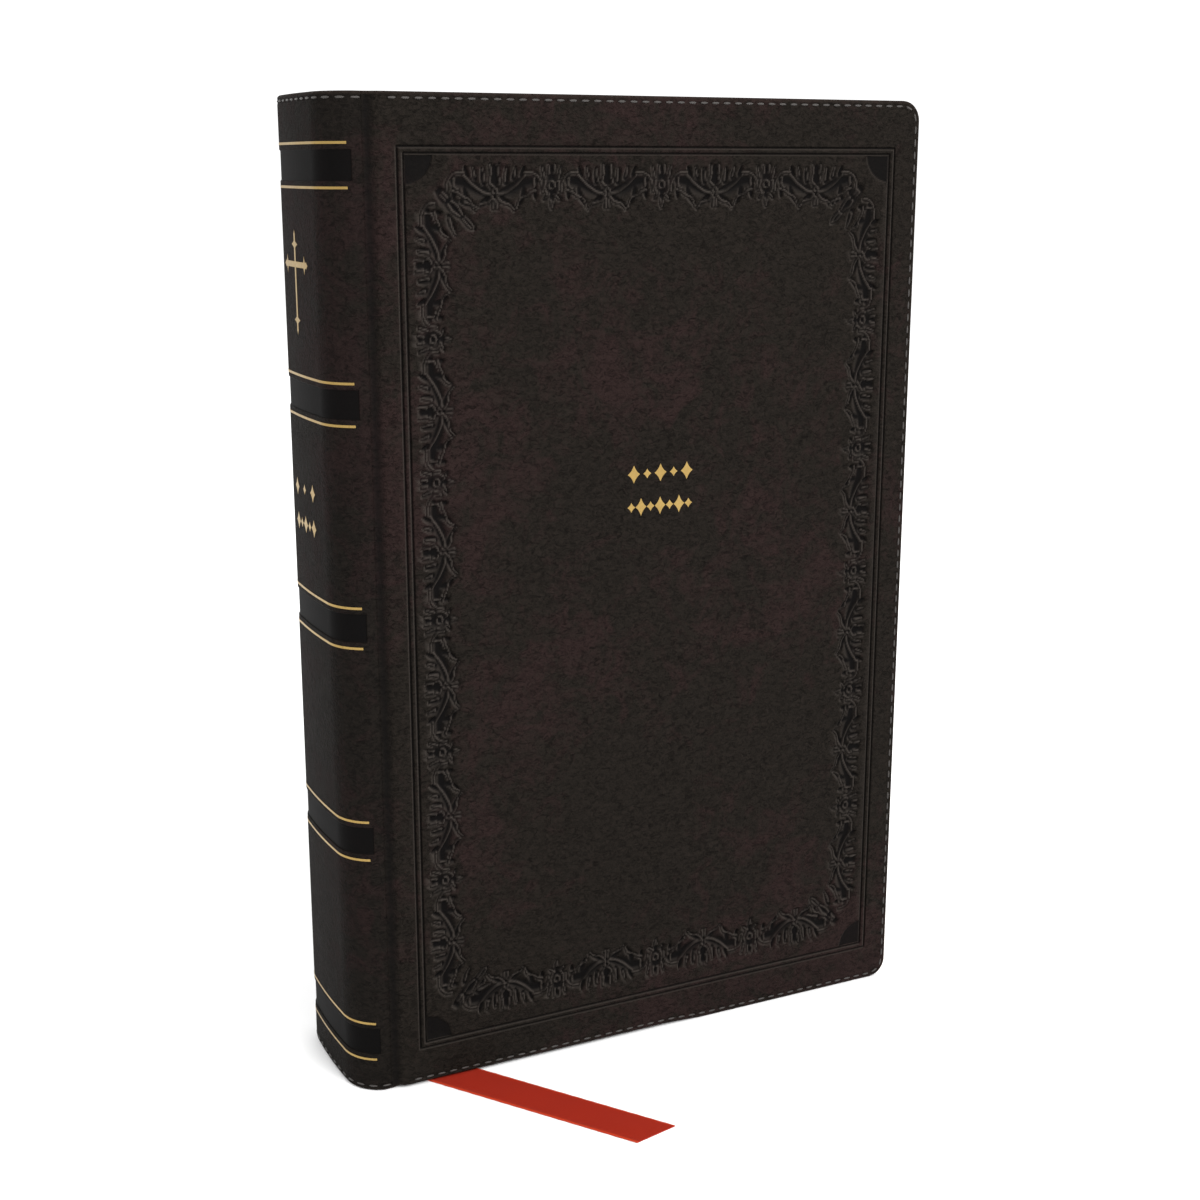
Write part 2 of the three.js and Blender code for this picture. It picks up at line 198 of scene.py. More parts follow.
class RibbonSettings(bpy.types.PropertyGroup):
    ribbon_colour: bpy.props.FloatVectorProperty(
        name="Ribbon", description="Colour of the ribbon's face", subtype="COLOR", size=3,
        min=0, max=1, default=linear("#9c2412")[:3])
    selvedge_colour: bpy.props.FloatVectorProperty(
        name="Selvedge", description="Colour of the ribbon's edges", subtype="COLOR", size=3,
        min=0, max=1, default=linear("#b83a1c")[:3])


# ---- Materials ----


def add(tree, kind, links=None, output=0, **settings):
    """Adds a node and returns one of its outputs. Links give each input a value or another node's output."""
    node = tree.nodes.new("ShaderNode" + kind)
    for name, value in settings.items():
        setattr(node, name, value)
    for socket, value in (links or {}).items():
        if isinstance(value, bpy.types.NodeSocket):
            tree.links.new(value, node.inputs[socket])
        else:
            node.inputs[socket].default_value = value
    return node.outputs[output]


def new_finish(name, **sockets):
    """A material with the given values on its shader, its node tree and its shader."""
    finish = bpy.data.materials.new(name)
    finish.use_nodes = True
    tree = finish.node_tree
    shader = tree.nodes["Principled BSDF"]
    for socket, value in sockets.items():
        shader.inputs[socket.replace("_", " ")].default_value = value
    return finish, tree, shader


def opaque(colour):
    return (*colour[:3], 1.0)


def leather_finish(settings):
    # Bonded leather, grained by a roller: dimples and creases about 1.5 mm apart over a finer pore, and so
    # matt that it has hardly any gleam. Where a hot tool has pressed it, the grain is flattened and the
    # surface turns nearly black, a darkening that also serves as painted shade in the pressed recesses.
    # One flank of each rib left standing there, the one facing the key light, carries a painted highlight.
    finish, tree, shader = new_finish("bonded_leather", IOR=1.08, Specular_IOR_Level=0.4)
    place = add(tree, "Attribute", {}, "Vector", attribute_name="lay")
    pressed = add(tree, "Attribute", {}, "Fac", attribute_name="pressed")
    # The attribute called rib carries the painted highlight on lit rib flanks and on the ribs.
    rib = add(tree, "Attribute", {}, "Fac", attribute_name="rib")
    wear = add(tree, "Attribute", {}, "Fac", attribute_name="wear")
    crease = add(tree, "TexNoise", {"Vector": place, "Scale": 0.7, "Detail": 4.0, "Roughness": 0.6,
                                    "Distortion": 0.9}, noise_type="RIDGED_MULTIFRACTAL")
    stretched = add(tree, "Mapping", {"Vector": place, "Scale": (0.75, 0.75, 1.25)})
    wrinkle = add(tree, "TexNoise", {"Vector": stretched, "Scale": 0.95, "Detail": 4.0, "Roughness": 0.62,
                                     "Distortion": 1.2})
    pore = add(tree, "TexVoronoi", {"Vector": place, "Scale": 1.5}, "Distance", feature="DISTANCE_TO_EDGE")
    pore = add(tree, "MapRange", {0: pore, 1: 0.0, 2: 0.25, 3: 0.0, 4: 1.0})
    cloud = add(tree, "TexNoise", {"Vector": place, "Scale": 0.022, "Detail": 2.0, "Roughness": 0.5})
    mottle = add(tree, "TexNoise", {"Vector": place, "Scale": 0.13, "Detail": 4.0, "Roughness": 0.7,
                                    "Distortion": 0.9})

    blush = add(tree, "Math", {0: cloud, 1: mottle}, operation="ADD")
    blush = add(tree, "MapRange", {0: blush, 1: 0.98, 2: 1.2, 3: 0.0, 4: 0.85})
    cool, warm = opaque(settings.leather_colour), opaque(settings.warm_colour)
    base = add(tree, "Mix", {0: blush, 6: cool, 7: warm}, 2, data_type="RGBA")
    # Painted shade in the grain's low creases and painted highlight on its raised wrinkles, both keyed to the
    # wrinkle height that also drives the bump.
    painted_crease_shade = add(tree, "MapRange", {0: wrinkle, 1: 0.33, 2: 0.52, 3: 0.72, 4: 0.0})
    base = add(tree, "Mix", {0: painted_crease_shade, 6: base, 7: linear("#0a0807")}, 2, data_type="RGBA")
    painted_ridge_highlight = add(tree, "MapRange", {0: wrinkle, 1: 0.5, 2: 0.8, 3: 0.0, 4: 0.15})
    base = add(tree, "Mix", {0: painted_ridge_highlight, 6: base, 7: linear("#423733")}, 2, data_type="RGBA")
    worn = add(tree, "Math", {0: wear, 1: 0.3}, operation="MULTIPLY")
    base = add(tree, "Mix", {0: worn, 6: base, 7: linear("#3a302b")}, 2, data_type="RGBA")
    # Pressed places go nearly black, partly the tool's darkening and partly painted shade in the recesses.
    tooled_and_shade = add(tree, "Math", {0: pressed, 1: 0.96}, operation="MULTIPLY")
    base = add(tree, "Mix", {0: tooled_and_shade, 6: base, 7: opaque(settings.pressed_and_shade_colour)}, 2, data_type="RGBA")
    # Painted highlight: a lighter tone where the rib attribute marks flanks facing the key light.
    painted_shine = add(tree, "Math", {0: rib, 1: 0.85}, operation="MULTIPLY")
    base = add(tree, "Mix", {0: painted_shine, 6: base, 7: linear("#3c3733")}, 2, data_type="RGBA")
    tree.links.new(base, shader.inputs["Base Color"])

    rough = add(tree, "MapRange", {0: mottle, 1: 0.3, 2: 0.7, 3: 0.56, 4: 0.68})
    rough = add(tree, "Mix", {0: pressed, 2: rough, 3: 0.5})
    tree.links.new(rough, shader.inputs["Roughness"])

    grain = add(tree, "Math", {0: crease, 1: 0.5}, operation="MULTIPLY")
    grain = add(tree, "Math", {0: pore, 1: 0.22, 2: grain}, operation="MULTIPLY_ADD")
    grain = add(tree, "Math", {0: wrinkle, 1: 1.3, 2: grain}, operation="MULTIPLY_ADD")
    fade = add(tree, "MapRange", {0: pressed, 1: 0.0, 2: 1.0, 3: 1.0, 4: 0.08})
    grain = add(tree, "Math", {0: grain, 1: fade}, operation="MULTIPLY")
    bump = add(tree, "Bump", {"Strength": 0.9, "Distance": 0.00038, "Height": grain})
    tree.links.new(bump, shader.inputs["Normal"])
    return finish


def foil_finish():
    # Hot-stamped gold foil: a metal film that takes up the leather's grain and is rubbed thin in specks.
    finish, tree, shader = new_finish("gold_foil", Metallic=1.0, Roughness=0.34)
    place = add(tree, "TexCoord", {}, "Object")
    speck = add(tree, "TexNoise", {"Vector": place, "Scale": 1400.0, "Detail": 3.0, "Roughness": 0.6},
        "Fac")
    shade = add(tree, "TexNoise", {"Vector": place, "Scale": 160.0, "Detail": 2.0}, "Fac")
    gold = add(tree, "Mix", {0: shade, 6: linear("#8f7341"), 7: linear("#a88f58")}, 2, data_type="RGBA")
    colour = add(tree, "Mix", {0: add(tree, "MapRange", {0: speck, 1: 0.62, 2: 0.72, 3: 0.0, 4: 0.5}),
        6: gold, 7: linear("#6e5427")}, 2, data_type="RGBA")
    tree.links.new(colour, shader.inputs["Base Color"])
    tree.links.new(add(tree, "MapRange", {0: speck, 1: 0.3, 2: 0.7, 3: 0.26, 4: 0.46}),
        shader.inputs["Roughness"])
    bump = add(tree, "Bump", {"Strength": 0.35, "Distance": 4e-05, "Height": speck})
    tree.links.new(bump, shader.inputs["Normal"])
    return finish


def thread_finish(name, light, dark):
    # Waxed polyester thread: tight twisted strands about 0.15 mm across, with a dull gleam.
    finish, tree, shader = new_finish(name, Roughness=0.55, Sheen_Weight=0.15, Sheen_Roughness=0.4)
    place = add(tree, "TexCoord", {}, "Object")
    turned = add(tree, "Mapping", {"Vector": place, "Rotation": (0.6, 0.5, 0.7)})
    twist = add(tree, "TexWave", {"Vector": turned, "Scale": 1100.0, "Distortion": 1.5, "Detail": 1.0},
        "Fac", wave_type="BANDS")
    fuzz = add(tree, "TexNoise", {"Vector": place, "Scale": 900.0, "Detail": 4.0}, "Fac")
    tone = add(tree, "Math", {0: add(tree, "Math", {0: twist, 1: fuzz}, operation="ADD"), 1: 0.5},
        operation="MULTIPLY")
    colour = add(tree, "Mix", {0: tone, 6: linear(dark), 7: linear(light)}, 2, data_type="RGBA")
    tree.links.new(colour, shader.inputs["Base Color"])
    bump = add(tree, "Bump", {"Strength": 0.6, "Distance": 6e-05, "Height": twist})
    tree.links.new(bump, shader.inputs["Normal"])
    return finish


def paper_finish(name, colour, follow):
    # Thin bible paper: matt, nearly smooth, with faint cloudy formation and short fibres.
    finish, tree, shader = new_finish(name, Roughness=0.82, Specular_IOR_Level=0.3)
    if follow:
        place = add(tree, "Attribute", {}, "Vector", attribute_name="lay")
        unit = 1.0
    else:
        place = add(tree, "TexCoord", {}, "Object")
        unit = 1000.0
    cloud = add(tree, "TexNoise", {"Vector": place, "Scale": 0.12 * unit, "Detail": 4.0, "Roughness": 0.6},
        "Fac")
    fibre = add(tree, "TexNoise", {"Vector": place, "Scale": 1.6 * unit, "Detail": 3.0, "Distortion": 2.0},
        "Fac")
    shade = [c * 0.86 for c in colour[:3]]
    tone = add(tree, "Mix", {0: add(tree, "MapRange", {0: cloud, 1: 0.35, 2: 0.65, 3: 0.0, 4: 0.45}),
        6: opaque(colour), 7: opaque(shade)}, 2, data_type="RGBA")
    fine = add(tree, "Mix", {0: add(tree, "MapRange", {0: fibre, 1: 0.6, 2: 0.75, 3: 0.0, 4: 0.35}),
        6: tone, 7: linear("#b3a88e")}, 2, data_type="RGBA")
    tree.links.new(fine, shader.inputs["Base Color"])
    tree.links.new(add(tree, "MapRange", {0: cloud, 1: 0.3, 2: 0.7, 3: 0.76, 4: 0.88}),
        shader.inputs["Roughness"])
    bump = add(tree, "Bump", {"Strength": 0.2, "Distance": 3e-05, "Height": fibre})
    tree.links.new(bump, shader.inputs["Normal"])
    return finish


def gilt_edge(tree, place, unit, gilt):
    """Colour, roughness and height of gilded leaf edges, drawn 0.2 mm apart so that they show."""
    along = add(tree, "Mapping", {"Vector": place, "Scale": (0.02, 1.0, 0.02)})
    leaf = add(tree, "TexNoise", {"Vector": along, "Scale": 3.2 * unit, "Detail": 3.0, "Roughness": 0.75},
        "Fac")
    rub = add(tree, "TexNoise", {"Vector": place, "Scale": 0.08 * unit, "Detail": 5.0}, "Fac")
    deep = [c * 0.55 for c in gilt[:3]]
    colour = add(tree, "Mix", {0: add(tree, "MapRange", {0: leaf, 1: 0.35, 2: 0.65, 3: 0.0, 4: 1.0}),
        6: opaque(deep), 7: opaque(gilt)}, 2, data_type="RGBA")
    rough = add(tree, "MapRange", {0: rub, 1: 0.3, 2: 0.7, 3: 0.28, 4: 0.42})
    return colour, rough, leaf


def gilt_finish(gilt):
    # Gilded leaf edges: gold leaf burnished over hundreds of clamped sheets, so that it shows fine lines.
    finish, tree, shader = new_finish("gilt_edge", Metallic=0.85)
    place = add(tree, "Attribute", {}, "Vector", attribute_name="lay")
    colour, rough, leaf = gilt_edge(tree, place, 1.0, gilt)
    tree.links.new(colour, shader.inputs["Base Color"])
    tree.links.new(rough, shader.inputs["Roughness"])
    bump = add(tree, "Bump", {"Strength": 0.5, "Distance": 8e-05, "Height": leaf})
    tree.links.new(bump, shader.inputs["Normal"])
    return finish


def block_finish(paper, gilt):
    # A sewn section: plain paper on its two faces, burnished gold leaf over its cut edges.
    finish, tree, shader = new_finish("gilt_paper_section", Specular_IOR_Level=0.4)
    place = add(tree, "TexCoord", {}, "Object")
    facing = add(tree, "SeparateXYZ", {0: add(tree, "TexCoord", {}, "Normal")}, "Y")
    facing = add(tree, "Math", {0: facing}, operation="ABSOLUTE")
    cut = add(tree, "Math", {0: facing, 1: 0.7}, operation="LESS_THAN")
    colour, rough, leaf = gilt_edge(tree, place, 1000.0, gilt)
    cloud = add(tree, "TexNoise", {"Vector": place, "Scale": 120.0, "Detail": 4.0}, "Fac")
    shade = [c * 0.86 for c in paper[:3]]
    sheet = add(tree, "Mix", {0: add(tree, "MapRange", {0: cloud, 1: 0.35, 2: 0.65, 3: 0.0, 4: 0.45}),
        6: opaque(paper), 7: opaque(shade)}, 2, data_type="RGBA")
    tree.links.new(add(tree, "Mix", {0: cut, 6: sheet, 7: colour}, 2, data_type="RGBA"),
        shader.inputs["Base Color"])
    tree.links.new(add(tree, "Mix", {0: cut, 2: 0.82, 3: rough}), shader.inputs["Roughness"])
    tree.links.new(add(tree, "Math", {0: cut, 1: 0.85}, operation="MULTIPLY"), shader.inputs["Metallic"])
    bump = add(tree, "Bump", {"Strength": 0.5, "Distance": 8e-05, "Height": add(tree, "Math", {0: leaf,
        1: cut}, operation="MULTIPLY")})
    tree.links.new(bump, shader.inputs["Normal"])
    return finish


def board_finish():
    # Grey millboard: pressed waste paper, matt, flecked with light and dark fibres.
    finish, tree, shader = new_finish("grey_millboard", Roughness=0.92, Specular_IOR_Level=0.2)
    place = add(tree, "TexCoord", {}, "Object")
    fleck = add(tree, "TexNoise", {"Vector": place, "Scale": 900.0, "Detail": 4.0, "Distortion": 1.5},
        "Fac")
    cloud = add(tree, "TexNoise", {"Vector": place, "Scale": 60.0, "Detail": 4.0}, "Fac")
    base = add(tree, "Mix", {0: cloud, 6: linear("#857d71"), 7: linear("#978f82")}, 2, data_type="RGBA")
    colour = add(tree, "Mix", {0: add(tree, "MapRange", {0: fleck, 1: 0.58, 2: 0.72, 3: 0.0, 4: 0.8}),
        6: base, 7: linear("#5f584e")}, 2, data_type="RGBA")
    tree.links.new(colour, shader.inputs["Base Color"])
    bump = add(tree, "Bump", {"Strength": 0.4, "Distance": 0.0001, "Height": fleck})
    tree.links.new(bump, shader.inputs["Normal"])
    return finish


def mull_finish():
    # Mull: an open starched cotton gauze with threads about 0.6 mm apart.
    finish, tree, shader = new_finish("cotton_mull", Roughness=0.95, Specular_IOR_Level=0.15)
    place = add(tree, "TexCoord", {}, "Object")
    down = add(tree, "TexWave", {"Vector": place, "Scale": 260.0, "Distortion": 0.6}, "Fac",
        bands_direction="Y")
    across = add(tree, "TexWave", {"Vector": place, "Scale": 260.0, "Distortion": 0.6}, "Fac",
        bands_direction="Z")
    weave = add(tree, "Math", {0: down, 1: across}, operation="MAXIMUM")
    colour = add(tree, "Mix", {0: weave, 6: linear("#a89f8a"), 7: linear("#e2dccb")}, 2, data_type="RGBA")
    tree.links.new(colour, shader.inputs["Base Color"])
    bump = add(tree, "Bump", {"Strength": 0.7, "Distance": 0.0001, "Height": weave})
    tree.links.new(bump, shader.inputs["Normal"])
    return finish


def headband_finish():
    # Woven headband: silk worked over a core in bars of two colours about 1.2 mm wide.
    finish, tree, shader = new_finish("striped_headband", Roughness=0.6, Sheen_Weight=0.3,
                                      Sheen_Roughness=0.4)
    place = add(tree, "Attribute", {}, "Vector", attribute_name="lay")
    bars = add(tree, "TexWave", {"Vector": place, "Scale": 0.21, "Distortion": 0.15}, "Fac",
        bands_direction="Y")
    strands = add(tree, "TexWave", {"Vector": place, "Scale": 1.2, "Distortion": 0.4}, "Fac",
        bands_direction="Y")
    colour = add(tree, "Mix", {0: add(tree, "MapRange", {0: bars, 1: 0.45, 2: 0.55, 3: 0.0, 4: 1.0}),
        6: linear("#7a2a1e"), 7: linear("#d9c08a")}, 2, data_type="RGBA")
    shaded = add(tree, "Mix", {0: add(tree, "MapRange", {0: strands, 1: 0.0, 2: 0.4, 3: 0.5, 4: 0.0}),
        6: colour, 7: linear("#3a2418")}, 2, data_type="RGBA")
    tree.links.new(shaded, shader.inputs["Base Color"])
    bump = add(tree, "Bump", {"Strength": 0.7, "Distance": 0.0001, "Height": strands})
    tree.links.new(bump, shader.inputs["Normal"])
    return finish


def ribbon_finish(settings, follow):
    # Double-faced satin ribbon: fine cross ribs about 0.3 mm apart, a soft sheen along the weft, and a
    # brighter corded selvedge down each side.
    name = "satin_ribbon" if follow else "satin_ribbon_inside"
    finish, tree, shader = new_finish(name, Roughness=0.55, Specular_IOR_Level=0.15, Sheen_Weight=0.06,
                                      Sheen_Roughness=0.35)
    if follow:
        place = add(tree, "UVMap", {}, "UV", uv_map="weave")
        unit = 1.0
    else:
        place = add(tree, "TexCoord", {}, "Object")
        unit = 1000.0
    ribs = add(tree, "TexWave", {"Vector": place, "Scale": 1.05 * unit, "Distortion": 0.35, "Detail": 1.0},
        "Fac", bands_direction="Y" if follow else "Z")
    turned = add(tree, "Mapping", {"Vector": place, "Rotation": (0.0, 0.9, 0.7)})
    twill = add(tree, "TexWave", {"Vector": turned, "Scale": 0.75 * unit, "Distortion": 0.5}, "Fac",
        bands_direction="X")
    fibre = add(tree, "TexNoise", {"Vector": place, "Scale": 2.5 * unit, "Detail": 4.0}, "Fac")
    face = opaque(settings.ribbon_colour)
    deep = opaque([c * 0.62 for c in settings.ribbon_colour])
    tone = add(tree, "Math", {0: add(tree, "Math", {0: ribs, 1: twill}, operation="ADD"), 1: 0.5},
        operation="MULTIPLY")
    colour = add(tree, "Mix", {0: add(tree, "MapRange", {0: tone, 1: 0.1, 2: 0.8, 3: 0.0, 4: 1.0}),
        6: deep, 7: face}, 2, data_type="RGBA")
    colour = add(tree, "Mix", {0: add(tree, "MapRange", {0: fibre, 1: 0.55, 2: 0.75, 3: 0.0, 4: 0.3}),
        6: colour, 7: opaque(settings.selvedge_colour)}, 2, data_type="RGBA")
    if follow:
        side = add(tree, "SeparateXYZ", {0: place}, "X")
        edge = add(tree, "MapRange", {0: add(tree, "Math", {0: side}, operation="ABSOLUTE"), 1: 4.35,
            2: 4.75, 3: 0.0, 4: 0.75})
        colour = add(tree, "Mix", {0: edge, 6: colour, 7: opaque(settings.selvedge_colour)}, 2,
            data_type="RGBA")
    tree.links.new(colour, shader.inputs["Base Color"])
    bump = add(tree, "Bump", {"Strength": 0.5, "Distance": 6e-05, "Height": tone})
    tree.links.new(bump, shader.inputs["Normal"])
    return finish


FINISHES = {}


def finish_named(key, make):
    if key not in FINISHES:
        FINISHES[key] = make()
    return FINISHES[key]


# ---- The case's plan ----

# The groove between a cover and the spine, from the joint line and in from the cover's face
GROOVE = ((1.3, 0.0), (0.7, 0.06), (0.0, 0.34), (-0.7, 0.86), (-1.4, 1.2), (-2.2, 1.3), (-3.2, 1.22),
          (-4.2, 1.28), (-5.4, 1.68))
SHOULDER_REACH = 10.0
SHOULDER_POWER = 2.15
SHOULDER_CENTRE = (-0.4, 10.6)
CROWN_X = BACK_X - JOINT_X


PLAN_STEP = 0.05


def smoothed(row, steps, **reflected):
    """A row of evenly spaced values, evened out over a number of its steps."""
    window = np.hanning(steps)
    padded = np.pad(row, steps // 2, mode="reflect" if reflected else "edge", **reflected)
    return np.convolve(padded, window / window.sum(), mode="valid")


def case_plan():
    """The outside of the leather seen from above, from the front fore-edge round the spine to the back one.

    Gives arc length, x, y and the outward normal at close steps. Arc length is 0 at the joint line."""
    points = [(FORE + 3.0, 0.0), (2.5, 0.0), *GROOVE]
    power = 2 / SHOULDER_POWER
    for angle in np.radians(np.linspace(58.0, 0.0, 40)):
        x = SHOULDER_CENTRE[0] - SHOULDER_REACH * math.cos(angle) ** power
        depth = SHOULDER_CENTRE[1] - SHOULDER_REACH * math.sin(angle) ** power
        if x < GROOVE[-1][0] - 0.3:
            points.append((x, depth))
    side_x = SHOULDER_CENTRE[0] - SHOULDER_REACH
    half = THICKNESS / 2 - SHOULDER_CENTRE[1]
    for depth in np.linspace(SHOULDER_CENTRE[1], THICKNESS / 2, 12)[1:]:
        bow = 1 - ((THICKNESS / 2 - depth) / half) ** 2
        points.append((side_x + (CROWN_X - side_x) * bow, depth))
    points = np.array(points)
    points = np.vstack([points, (points * (1, -1) + (0, THICKNESS))[-2::-1]])

    length = np.concatenate([[0], np.cumsum(np.hypot(*np.diff(points, axis=0).T))])
    even = np.arange(0, length[-1], PLAN_STEP)
    x, depth = (smoothed(np.interp(even, length, points[:, i]), 29, reflect_type="odd") for i in (0, 1))
    tangent = np.stack([smoothed(np.gradient(row), 81) for row in (x, depth)], axis=1)
    tangent /= np.linalg.norm(tangent, axis=1)[:, None]
    normal = np.stack([-tangent[:, 1], tangent[:, 0]], axis=1)
    run = FORE + 3.0 - even
    return run[::-1], (x + JOINT_X)[::-1], (depth - FACE_Y)[::-1], normal[::-1]


RUN, PLAN_X, PLAN_Y, PLAN_NORMAL = case_plan()
MIDDLE_RUN = (RUN[0] + RUN[-1]) / 2
# How deep the case is from its outer face to its inner one, by the place along the plan
LEATHER_DEPTHS = ((-6.5, 2.0), (-4.4, 1.8), (-3.2, 1.3), (-2.2, 1.25), (-1.0, 1.4), (0.5, COVER_DEPTH))


def run_at(x):
    """Where along the plan the front shoulder reaches an x counted from the joint line."""
    front = (RUN > MIDDLE_RUN) & (RUN < 5)
    order = np.argsort(PLAN_X[front])
    return float(np.interp(x + JOINT_X, PLAN_X[front][order], RUN[front][order]))


def run_at_depth(y):
    """Where along the plan the spine's back reaches a y."""
    spine = (RUN < run_at(-6)) & (RUN > 2 * MIDDLE_RUN - run_at(-6))
    order = np.argsort(PLAN_Y[spine])
    return float(np.interp(y, PLAN_Y[spine][order], RUN[spine][order]))


def lay_on_case(run, z, depth):
    """Points on or under the case's leather, from their places on the flat sheet."""
    mirrored = np.where(run < MIDDLE_RUN, 2 * MIDDLE_RUN - run, run)
    whole = np.interp(mirrored, *zip(*LEATHER_DEPTHS))
    squeeze = (whole - LEATHER) / (COVER_DEPTH - LEATHER)
    deep = np.where(depth > LEATHER, LEATHER + (depth - LEATHER) * squeeze, depth)
    x, y, nx, ny = (np.interp(run, RUN, row) for row in (PLAN_X, PLAN_Y, *PLAN_NORMAL.T))
    return np.stack([x - deep * nx, y - deep * ny, z], axis=1)


def smoothstep(value, low, high):
    t = np.clip((value - low) / (high - low), 0, 1)
    return t * t * (3 - 2 * t)


def tail_lift(run, z):
    """The front cover's tail edge is cut back over the ribbon."""
    out = smoothstep(run, -2.4, -0.6) * (1 - smoothstep(run, RELIEF_REACH, RELIEF_REACH + RELIEF_RAMP))
    return z + RELIEF_LIFT * out * np.clip(1 - (z - 0.5) / 6.0, 0, 1)


# ---- The pressed border ----

# Strokes are drawn in one half cell of the border, from a crown at 0 to a flower at 13, and from -4.5 at
# the inner side to 4.5 at the frame line. Each is a line of points, then its half width at its two ends.
HALF_CELL = 13.0
LEAF_BODIES = (
    (((0.8, -1.8), (3.5, -0.9), (6.5, 0.6), (9.2, 0.9)), 0.9, 1.3, 2.4),
    (((2.5, 0.4), (2.9, 3.5)), 0.9, 0.3, 0.85),
    (((4.3, 1.4), (4.8, 3.7)), 0.9, 0.3, 0.85),
    (((6.1, 2.0), (6.7, 3.9)), 0.9, 0.3, 0.8),
    (((1.2, -2.2), (2.8, -3.6), (4.4, -4.7)), 0.9, 0.3, 1.0),
    (((6.6, -0.6), (6.4, -2.4), (5.0, -4.4)), 1.0, 0.3, 1.0),
    (((9.0, -0.4), (9.2, -2.6)), 0.9, 0.5, 0.9),
    (((0.0, -1.0), (0.0, 1.0), (0.0, 3.6)), 1.6, 1.2, 2.1),
    (((0.0, -2.2), (0.0, -4.4)), 0.6, 0.7, 0.8),
)
LEAF_RIBS = (
    (((0.9, -1.9), (2.5, -1.6), (4.8, 0.0), (6.9, 2.1)), 0.62, 0.34),
    (((6.9, 2.6), (8.6, 2.6), (9.9, 1.9), (10.7, 0.5), (10.8, -1.2)), 0.34, 0.34),
    (((9.0, 1.4), (9.1, -0.3), (8.1, -0.8)), 0.36, 0.3),
    (((9.3, -1.1), (8.2, -1.4), (7.2, -2.2), (5.5, -2.8), (4.9, -4.6)), 0.42, 0.24),
    (((0.5, -2.3), (1.6, -3.5), (3.5, -3.9), (4.4, -5.1)), 0.45, 0.24),
    (((2.3, 0.9), (2.6, 3.5)), 0.45, 0.22),
    (((0.8, 2.3), (1.0, 4.3)), 0.45, 0.24),
    (((1.0, 1.6), (1.3, 0.6), (0.4, -0.1)), 0.34, 0.36),
    (((0.0, -0.3), (0.6, -1.1), (0.3, -1.7)), 0.4, 0.4),
    (((0.2, -2.9), (0.4, -4.5)), 0.36, 0.55),
    (((4.4, 1.9), (4.8, 3.7)), 0.42, 0.24),
)
FLOWER_BODIES = (
    (((13.0, -2.4), (13.0, 0.8), (13.0, 3.4)), 1.2, 1.4, 2.2),
    (((11.4, 1.2), (10.9, 3.6)), 0.8, 0.5, 0.8),
    (((12.2, -2.0), (11.2, -2.9)), 0.9, 0.6, 0.9),
    (((13.0, -3.0), (13.0, -4.6)), 0.5, 0.6, 0.7),
)
FLOWER_RIBS = (
    (((11.4, 1.5), (10.8, 3.8)), 0.42, 0.26),
    (((12.5, 2.5), (12.3, 4.2)), 0.42, 0.26),
    (((11.5, 0.9), (11.2, -0.5), (11.9, -1.8)), 0.44, 0.32),
    (((13.0, 0.9), (12.3, 0.5), (12.3, -0.4), (13.0, -0.9)), 0.34, 0.34),
    (((12.4, -1.9), (11.3, -2.8)), 0.42, 0.26),
    (((12.8, -3.4), (13.0, -4.7)), 0.5, 0.3),
)
# The corner sprig, from the frame's inner corner, mirrored about its diagonal
CORNER_BODIES = (
    (((7.6, 7.2), (10.0, 9.8), (12.6, 12.0)), 1.0, 0.8, 2.0),
    (((12.4, 9.6), (14.2, 10.1), (15.9, 10.9)), 0.9, 0.3, 1.1),
    (((12.4, 12.4), (14.4, 14.0), (15.2, 15.2)), 0.9, 0.3, 1.1),
)
CORNER_RIBS = (
    (((8.3, 7.8), (9.2, 8.7)), 0.6, 0.5),
    (((10.2, 9.5), (11.4, 10.3), (12.5, 12.0)), 0.46, 0.32),
    (((13.0, 9.7), (14.5, 10.1), (16.0, 10.9)), 0.5, 0.26),
    (((13.0, 12.6), (14.4, 13.8), (15.0, 14.8)), 0.46, 0.26),
)


def stroke_value(px, py, points, start, end, middle=None):
    """How far inside a stroke each point lies: 1 on its line, 0 at its edge and beyond."""
    points = np.array(points, dtype=float)
    fine = np.linspace(0, 1, 4 * len(points))
    knots = np.linspace(0, 1, len(points))
    line = np.stack([np.interp(fine, knots, points[:, i]) for i in (0, 1)], axis=1)
    for _ in range(2):
        line[1:-1] = (line[:-2] + 2 * line[1:-1] + line[2:]) / 4
    best = np.zeros_like(px)
    for i in range(len(line) - 1):
        a, b = line[i], line[i + 1]
        ab = b - a
        t = np.clip(((px - a[0]) * ab[0] + (py - a[1]) * ab[1]) / max(ab @ ab, 1e-9), 0, 1)
        away = np.hypot(px - a[0] - t * ab[0], py - a[1] - t * ab[1])
        u = fine[i] + (fine[i + 1] - fine[i]) * t
        width = start + (end - start) * u
        if middle is not None:
            width = width + (middle - (start + end) / 2) * 4 * u * (1 - u)
        best = np.maximum(best, 1 - away / width)
    return best


def motif(px, py, bodies, ribs):
    """How much each point is pressed and how much of a rib stands in it."""
    body, rib = np.zeros_like(px), np.zeros_like(px)
    for points, start, end, middle in bodies:
        body = np.maximum(body, smoothstep(stroke_value(px, py, points, start, end, middle), 0.0, 0.8))
    for points, start, end in ribs:
        bed = stroke_value(px, py, points, start + 0.4, end + 0.35)
        body = np.maximum(body, 0.75 * smoothstep(bed, 0, 0.7))
        rib = np.maximum(rib, smoothstep(stroke_value(px, py, points, start, end), 0.0, 0.85))
    return body, rib


